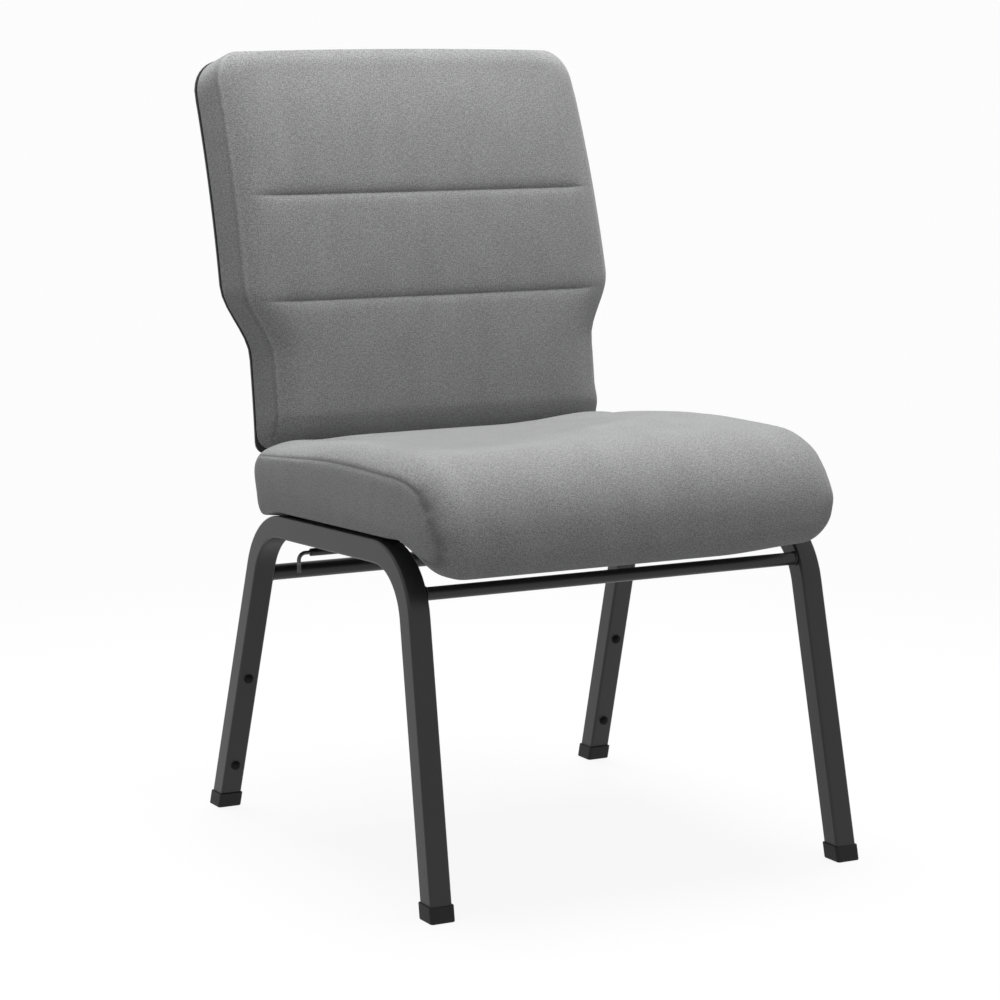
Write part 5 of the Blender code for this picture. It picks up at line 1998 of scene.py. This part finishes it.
@dataclass
class UnderSeat:
    """Straps, uprights, lining and screws under the seat."""

    strap_width: float = 0.030
    strap_thickness: float = 0.005
    strap_top: float = 0.0010
    strap_round: float = 0.0008
    strap_places: dict[str, float] = field(
        default_factory=lambda: {"front": -0.120, "middle": 0.020, "rear": 0.120})
    bead: float = 0.0024
    bead_length: float = 0.027
    bead_in: float = 0.0006
    bead_down: float = 0.0002
    upright_width: float = 0.025
    upright_thickness: float = 0.010
    upright_round: float = 0.002
    upright_wall: float = 0.0015
    upright_mouth: float = 0.020
    upright_x: float = 0.165
    shell_wall: float = 0.003
    heel: float = 0.206
    heel_radius: float = 0.035
    neck_height: float = 0.437
    neck_radius: float = 0.150
    neck_run: float = 0.10
    upright_top: float = 0.740
    lining_size: Pair = (0.4166, 0.246)
    lining_base: float = 0.0013
    lining_thickness: float = 0.0008
    sag: float = 0.0030
    sag_from_strap: Zone = Zone(0.017, 0.03)
    sag_from_edge: Zone = Zone(0.002, 0.03)
    screw_x: float = 0.140
    screw_size: Point3 = (0.006, 0.0035, 0.0029)

    def build(self) -> None:
        """Make all the pieces."""
        self.build_straps()
        self.build_uprights()
        self.build_lining()
        under = self.strap_top - self.strap_thickness - LINES.clearance
        spots = [(side * self.screw_x, self.strap_places[end], under)
                 for end in ("front", "rear") for side in (-1, 1)]
        screw_set("seat_bolt", "seat_screw", ZINC_PLATE, self.screw_size,
                  [LINES.seat_plane @ Matrix.Translation(spot) for spot in spots])

    def strap_bead(self) -> BMesh:
        """Rippled bead of weld along Y.

        Returns:
            The bead.
        """
        bead = bmesh.new()
        bmesh.ops.create_cone(bead, cap_ends=True, segments=14, radius1=self.bead, radius2=self.bead,
                              depth=self.bead_length, matrix=Matrix.Rotation(QUARTER, 4, "X"))
        lengthwise = [e for e in bead.edges if len(e.link_faces) == 2
                      and abs(e.verts[0].co.y - e.verts[1].co.y) > self.bead_length / 2]
        bmesh.ops.subdivide_edges(bead, edges=lengthwise, cuts=30)
        for vert in bead.verts:
            swell = 1 + 0.10 * math.sin(vert.co.y * 1900) + 0.25 * noise.noise(vert.co * 140)
            vert.co.x *= swell
            vert.co.z *= swell
        return bead

    def build_straps(self) -> None:
        """Make the flat bars between the rails, with weld beads under their ends."""
        half = LINES.leg_inside(LINES.rail_top) - LINES.clearance
        under = -self.strap_thickness / 2 - self.bead_down
        for name, y in self.strap_places.items():
            parts = [rounded_box((2 * half, self.strap_width, self.strap_thickness), self.strap_round)]
            for side in Side:
                bead = self.strap_bead()
                bead.transform(Matrix.Translation((side.value * (half - self.bead_in), 0, under)))
                parts.append(bead)
            mesh = merged(parts)
            middle = Matrix.Translation((0, y, self.strap_top - self.strap_thickness / 2))
            mesh.transform(LINES.seat_plane @ middle)
            finished(mesh, f"strap_bar_{name}", PowderCoat(), [f"seat_strap_{name}"])

    def run_height(self, y: float) -> float:
        """Height of the uprights' middle where they run under the straps.

        Args:
            y: Place along the chair.

        Returns:
            The height.
        """
        base = self.strap_top - self.strap_thickness
        drop = (LINES.clearance + self.upright_thickness / 2 - base) / math.cos(LINES.rail_pitch)
        return LINES.rail_top - drop - y * math.tan(LINES.rail_pitch)

    def build_uprights(self) -> None:
        """Sweep the flat tubes from the straps round the heel and up behind the pad."""
        out = self.shell_wall + LINES.clearance + self.upright_thickness / 2
        start = (0.0, self.run_height(0.0))
        neck = (LINES.back_y(self.neck_height, out), self.neck_height)
        radius = LINES.back_radius + out
        low = math.asin((self.neck_height - LINES.back_axis_z) / radius)
        high = math.asin((self.upright_top - LINES.back_axis_z) / radius)
        after = low + self.neck_run * (high - low)
        onward = (LINES.back_axis_y - radius * math.cos(after), LINES.back_axis_z + radius * math.sin(after))
        for side in Side:
            run = Run.of_box(self.upright_width, self.upright_thickness, self.upright_round, start,
                             -LINES.rail_pitch)
            run.follow([(self.heel, self.run_height(self.heel), self.heel_radius),
                        (*neck, self.neck_radius), (*onward, 0.0)])
            run.bend(-(high - after), radius, 24)
            run.hollow_end(run.first, self.upright_wall, self.upright_mouth)
            mesh = run.done(LINES.home @ Matrix.Translation((side.value * self.upright_x, 0, 0)))
            finished(mesh, f"upright_tube_{side.label}", PowderCoat(), [f"back_upright_{side.label}"])

    def build_lining(self) -> None:
        """Lay the lining on the straps; it sags a little between them."""
        wide, deep = self.lining_size
        mesh = bmesh.new()
        bmesh.ops.create_grid(mesh, x_segments=40, y_segments=60, size=0.5)
        bmesh.ops.scale(mesh, vec=(wide, deep, 1), verts=mesh.verts)
        for vert in mesh.verts:
            near = min(abs(vert.co.y - y) for y in self.strap_places.values())
            edge = min(wide / 2 - abs(vert.co.x), deep / 2 - abs(vert.co.y))
            sag = self.sag * self.sag_from_strap(near) * self.sag_from_edge(edge)
            vert.co.z = -sag * (1 + 0.25 * noise.noise(vert.co * 30))
        mesh.normal_update()
        bmesh.ops.solidify(mesh, geom=mesh.faces[:], thickness=self.lining_thickness)
        face_out(mesh)
        rise = self.lining_base + self.lining_thickness - max(v.co.z for v in mesh.verts)
        mesh.transform(LINES.seat_plane @ Matrix.Translation((0, 0, rise)))
        piece = finished(mesh, "seat_lining", Lining(), ["seat_dust_cover"], weighted=False)


@dataclass
class GangingGear:
    """Sliding wire hook with its guide on the right, and the catch on the left."""

    wire: float = 0.0045
    wire_end: float = 0.0007
    y: float = 0.120
    height: float = 0.31749
    tip_x: float = -0.2213
    drop: float = 0.022
    bend: float = 0.008
    stop_x: float = -0.07675
    stop_rise: float = 0.016
    sleeve: float = 0.011
    sleeve_radius: float = 0.0044
    sleeve_round: float = 0.0006
    guide_x: Pair = (-0.206, -0.166)
    hanger: float = 0.0105
    hanger_depth: float = 0.0099
    hanger_foot: float = 0.003
    hanger_top: float = 0.34689
    hanger_round: float = 0.0012
    collar: float = 0.001
    collar_round: float = 0.0004
    collar_mouth: float = 0.0005
    collar_out: float = 0.0004
    catch_thickness: float = 0.003
    catch_fold: float = 0.0026
    catch_edge: float = 0.0004
    slot_size: Pair = (0.009, 0.014)
    slot_corner: float = 0.0018

    def build(self) -> None:
        """Make the hook, the guide and the catch."""
        self.build_hook()
        self.build_guide()
        self.build_catch()

    def build_hook(self) -> None:
        """Bend the wire: a hooked tip, a long run through the guide and an upturned stop."""
        run = Run.of_wire(self.wire, (self.tip_x, self.height - self.drop), QUARTER)
        run.follow([(self.tip_x, self.height, self.bend), (self.stop_x, self.height, self.bend),
                    (self.stop_x, self.height + self.stop_rise, 0.0)])
        mesh = run.done()
        soften(mesh, [e for f in (run.first, run.face) for e in f.edges], self.wire_end, 3)
        turn = Matrix(((0, 1, 0, 0), (1, 0, 0, self.y + LINES.shift), (0, 0, 1, 0), (0, 0, 0, 1)))
        mesh.transform(turn)
        face_out(mesh)
        finished(mesh, "gang_hook_wire", HookWire(), ["ganging_hook"], Body.HOOK)

    def build_guide(self) -> None:
        """Make the sleeve that the wire slides in and the hanger that holds it."""
        outer, inner = self.guide_x
        middle, half = (inner + outer) / 2, (inner - outer) / 2
        bore, wall, edge = self.wire / 2 + LINES.clearance, self.sleeve_radius, self.sleeve_round
        sleeve = turned([(bore, -half), (wall - edge, -half), (wall, edge - half), (wall, half - edge),
                         (wall - edge, half), (bore, half)], 32)
        sleeve.transform(Matrix.Translation((middle, 0, self.height)) @ Matrix.Rotation(QUARTER, 4, "Y"))
        foot = self.height - self.sleeve / 2 + self.hanger_foot
        hanger = rounded_box((self.hanger, self.hanger_depth, self.hanger_top - foot), self.hanger_round)
        hanger.transform(Matrix.Translation((inner - self.hanger / 2, 0, (self.hanger_top + foot) / 2)))
        parts = [sleeve, hanger]
        thick, shoulder = self.collar, self.collar_round
        for x in (outer - self.collar_out, inner + self.collar_out):
            collar = turned([(bore, -thick), (wall, -thick), (wall, shoulder), (0.9 * wall, thick),
                             (bore + self.collar_mouth, thick), (bore, shoulder)], 32)
            flip = Matrix.Rotation(math.copysign(QUARTER, x - middle), 4, "Y")
            collar.transform(Matrix.Translation((x, 0, self.height)) @ flip)
            parts.append(collar)
        mesh = merged(parts)
        mesh.transform(Matrix.Translation((0, self.y + LINES.shift, 0)))
        finished(mesh, "gang_guide_sleeve", PowderCoat(), ["ganging_guide"])

    def build_catch(self) -> None:
        """Fold the catch from a slotted plate."""
        low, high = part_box("ganging_catch")
        half = (high.y - low.y) / 2
        t = self.catch_thickness
        crease = low.x + t + self.catch_fold
        slot = Matrix.Translation(((low.x + t + high.x) / 2, 0, 0)) @ Matrix.Diagonal((*self.slot_size, 1, 1))
        mesh = bmesh.new()
        bmesh.ops.create_grid(mesh, x_segments=1, y_segments=1, size=0.5, matrix=slot)
        soften(mesh, mesh.verts[:], self.slot_corner, 4, "VERTICES")
        bmesh.ops.delete(mesh, geom=mesh.faces[:], context="FACES_ONLY")
        hole = mesh.edges[:]
        corners = ((crease, -half, 0), (high.x, -half, 0), (high.x, half, 0), (crease, half, 0))
        rim = [mesh.verts.new(corner) for corner in corners]
        outer = [mesh.edges.new(pair) for pair in zip(rim, rim[1:] + rim[:1])]
        bmesh.ops.bridge_loops(mesh, edges=hole + outer)
        bent = bmesh.ops.spin(mesh, geom=[outer[3], rim[3], rim[0]], cent=(crease, 0, self.catch_fold),
                              axis=(0, 1, 0), angle=QUARTER, steps=6, use_duplicate=False)["geom_last"]
        wall = bmesh.ops.extrude_edge_only(mesh, edges=only(BMEdge, bent))["geom"]
        bmesh.ops.translate(mesh, vec=(0, 0, high.z - low.z - t - self.catch_fold),
                            verts=only(BMVert, wall))
        bmesh.ops.remove_doubles(mesh, verts=mesh.verts, dist=1e-6)
        face_out(mesh)
        flange = next(f for f in mesh.faces if abs(f.normal.z) > 0.9)
        if flange.normal.z < 0:
            bmesh.ops.reverse_faces(mesh, faces=mesh.faces[:])
        bmesh.ops.solidify(mesh, geom=mesh.faces[:], thickness=t)
        face_out(mesh)
        mesh.transform(Matrix.Translation((0, (low.y + high.y) / 2, low.z + t)))
        piece = finished(mesh, "gang_catch_plate", PowderCoat(), ["ganging_catch"], weighted=False)
        edges = piece.modifiers.new("soft_edges", "BEVEL")
        edges.width = self.catch_edge
        edges.segments = 2
        edges.limit_method = "ANGLE"


@dataclass
class HiddenParts:
    """Nodes inside the pads that keep their solids and take better finishes."""

    finishes: dict[str, Finish] = field(default_factory=lambda: {
        "seat_board": BIRCH_PLYWOOD, "back_board": BIRCH_PLYWOOD, "back_tie_lower": PowderCoat(),
        "back_tie_upper": PowderCoat(), **{f"back_screw_{n}": ZINC_PLATE for n in range(1, 5)}})

    def dress(self, nodes: dict[str, bpy.types.Object]) -> None:
        """Give each node its finish.

        Args:
            nodes: The frame's nodes by name.
        """
        for name, finish in self.finishes.items():
            data = nodes[name].data
            data.materials.clear()
            data.materials.append(finish.material())
            LOG.info("node %s: %s", name, finish.name)


@dataclass
class Studio:
    """Pale floor, soft light and the camera."""

    camera_spot: Point3 = (-1.628237, -2.992981, 0.893261)
    camera_axes: tuple[Point3, Point3, Point3] = (
        (0.8798028, -0.4753388, -0.0001669), (0.0720131, 0.1329417, 0.9885042),
        (-0.4698523, -0.8697008, 0.1511931))
    lens: float = 110.966
    sensor: float = 36.0
    key_spot: Point3 = (0.12, 0.32, 2.90)
    key_aim: Point3 = (0.0, 0.0, 0.45)
    key_size: float = 1.6
    key_power: float = 92.0
    paper: float = 0.975
    ambient: float = 0.33
    floor_radius: float = 4.0
    floor_fade: Pair = (0.7, 1.9)
    floor_glow: float = 1.0
    floor_share: float = 0.09
    floor_seen: Colour = (0.93, 0.93, 0.93)
    floor_unseen: Colour = (0.32, 0.32, 0.32)

    def build(self) -> None:
        """Make the camera, the lights, the floor and the world."""
        bpy.context.scene.view_settings.view_transform = "Standard"
        self.build_camera()
        self.build_light()
        self.build_floor()
        self.build_world()

    def build_camera(self) -> None:
        """Stand the camera where the photograph was taken."""
        data = bpy.data.cameras.new("camera")
        data.lens = self.lens
        data.sensor_width = self.sensor
        camera = bpy.data.objects.new("camera", data)
        turn = Matrix([Vector(axis) for axis in self.camera_axes]).transposed()
        camera.matrix_world = Matrix.Translation(self.camera_spot) @ turn.to_4x4()
        bpy.context.scene.collection.objects.link(camera)
        bpy.context.scene.camera = camera

    def build_light(self) -> None:
        """Hang the key light, a square soft box that faces the chair."""
        data = bpy.data.lights.new("key", "AREA")
        data.shape = "SQUARE"
        data.size = self.key_size
        data.energy = self.key_power
        lamp = bpy.data.objects.new("key", data)
        lamp.location = self.key_spot
        aim = Vector(self.key_aim) - Vector(self.key_spot)
        lamp.rotation_euler = aim.to_track_quat("-Z", "Y").to_euler()
        lamp.visible_glossy = False
        bpy.context.scene.collection.objects.link(lamp)

    def build_floor(self) -> None:
        """Lay a pale floor that takes the shadow and melts into the background."""
        mesh = bmesh.new()
        bmesh.ops.create_circle(mesh, cap_ends=True, segments=64, radius=self.floor_radius)
        data = bpy.data.meshes.new("floor")
        mesh.to_mesh(data)
        mesh.free()
        floor = bpy.data.objects.new("floor", data)
        bpy.context.scene.collection.objects.link(floor)
        material = bpy.data.materials.new("pale_floor")
        material.use_nodes = True
        graph = Graph(material.node_tree)
        away = graph.add("ShaderNodeVectorMath", {"operation": "LENGTH"}, {0: graph.place()}, "Value")
        paper = graph.add("ShaderNodeEmission", None, {"Color": (1, 1, 1, 1), "Strength": self.paper})
        glow = graph.add("ShaderNodeEmission", None, {"Color": (1, 1, 1, 1), "Strength": self.floor_glow})
        lit = graph.add("ShaderNodeBsdfDiffuse", None, {"Color": (*self.floor_seen, 1)})
        grey = graph.add("ShaderNodeBsdfDiffuse", None, {"Color": (*self.floor_unseen, 1)})
        plain = graph.add("ShaderNodeMixShader", None, {0: self.floor_share, 1: glow, 2: lit})
        fade = graph.add("ShaderNodeMixShader", None, {0: away.ramp(*self.floor_fade), 1: plain, 2: paper})
        whole = graph.add("ShaderNodeMixShader", None, {0: graph.shown(), 1: grey, 2: fade})
        graph.add("ShaderNodeOutputMaterial", None, {"Surface": whole})
        data.materials.append(material)

    def build_world(self) -> None:
        """White to the camera and to reflections, softer as light."""
        world = bpy.data.worlds.new("studio")
        world.use_nodes = True
        bpy.context.scene.world = world
        graph = Graph(world.node_tree)
        white = graph.add("ShaderNodeBackground", None, {"Color": (1, 1, 1, 1), "Strength": self.paper})
        soft = graph.add("ShaderNodeBackground", None, {"Color": (1, 1, 1, 1), "Strength": self.ambient})
        whole = graph.add("ShaderNodeMixShader", None, {0: graph.shown(), 1: soft, 2: white})
        graph.add("ShaderNodeOutputWorld", None, {"Surface": whole})


def main() -> None:
    """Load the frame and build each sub-assembly."""
    logging.basicConfig(level=logging.INFO, format="%(message)s")
    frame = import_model()
    Studio().build()
    for side in Side:
        LegFrame(side).build()
    front, rear = LINES.front_bar_height, LINES.rear_bar_height
    Crossbar("front", LINES.front_bar, front, LINES.front_y(front)).build()
    Crossbar("rear", LINES.rear_bar, rear, LINES.rear_y(rear)).build()
    UnderSeat().build()
    SeatCushion().build()
    BackCushion().build()
    OuterShell().build()
    GangingGear().build()
    HiddenParts().dress(frame["nodes"])
    bpy.context.view_layer.update()


if __name__ == "__main__":
    main()
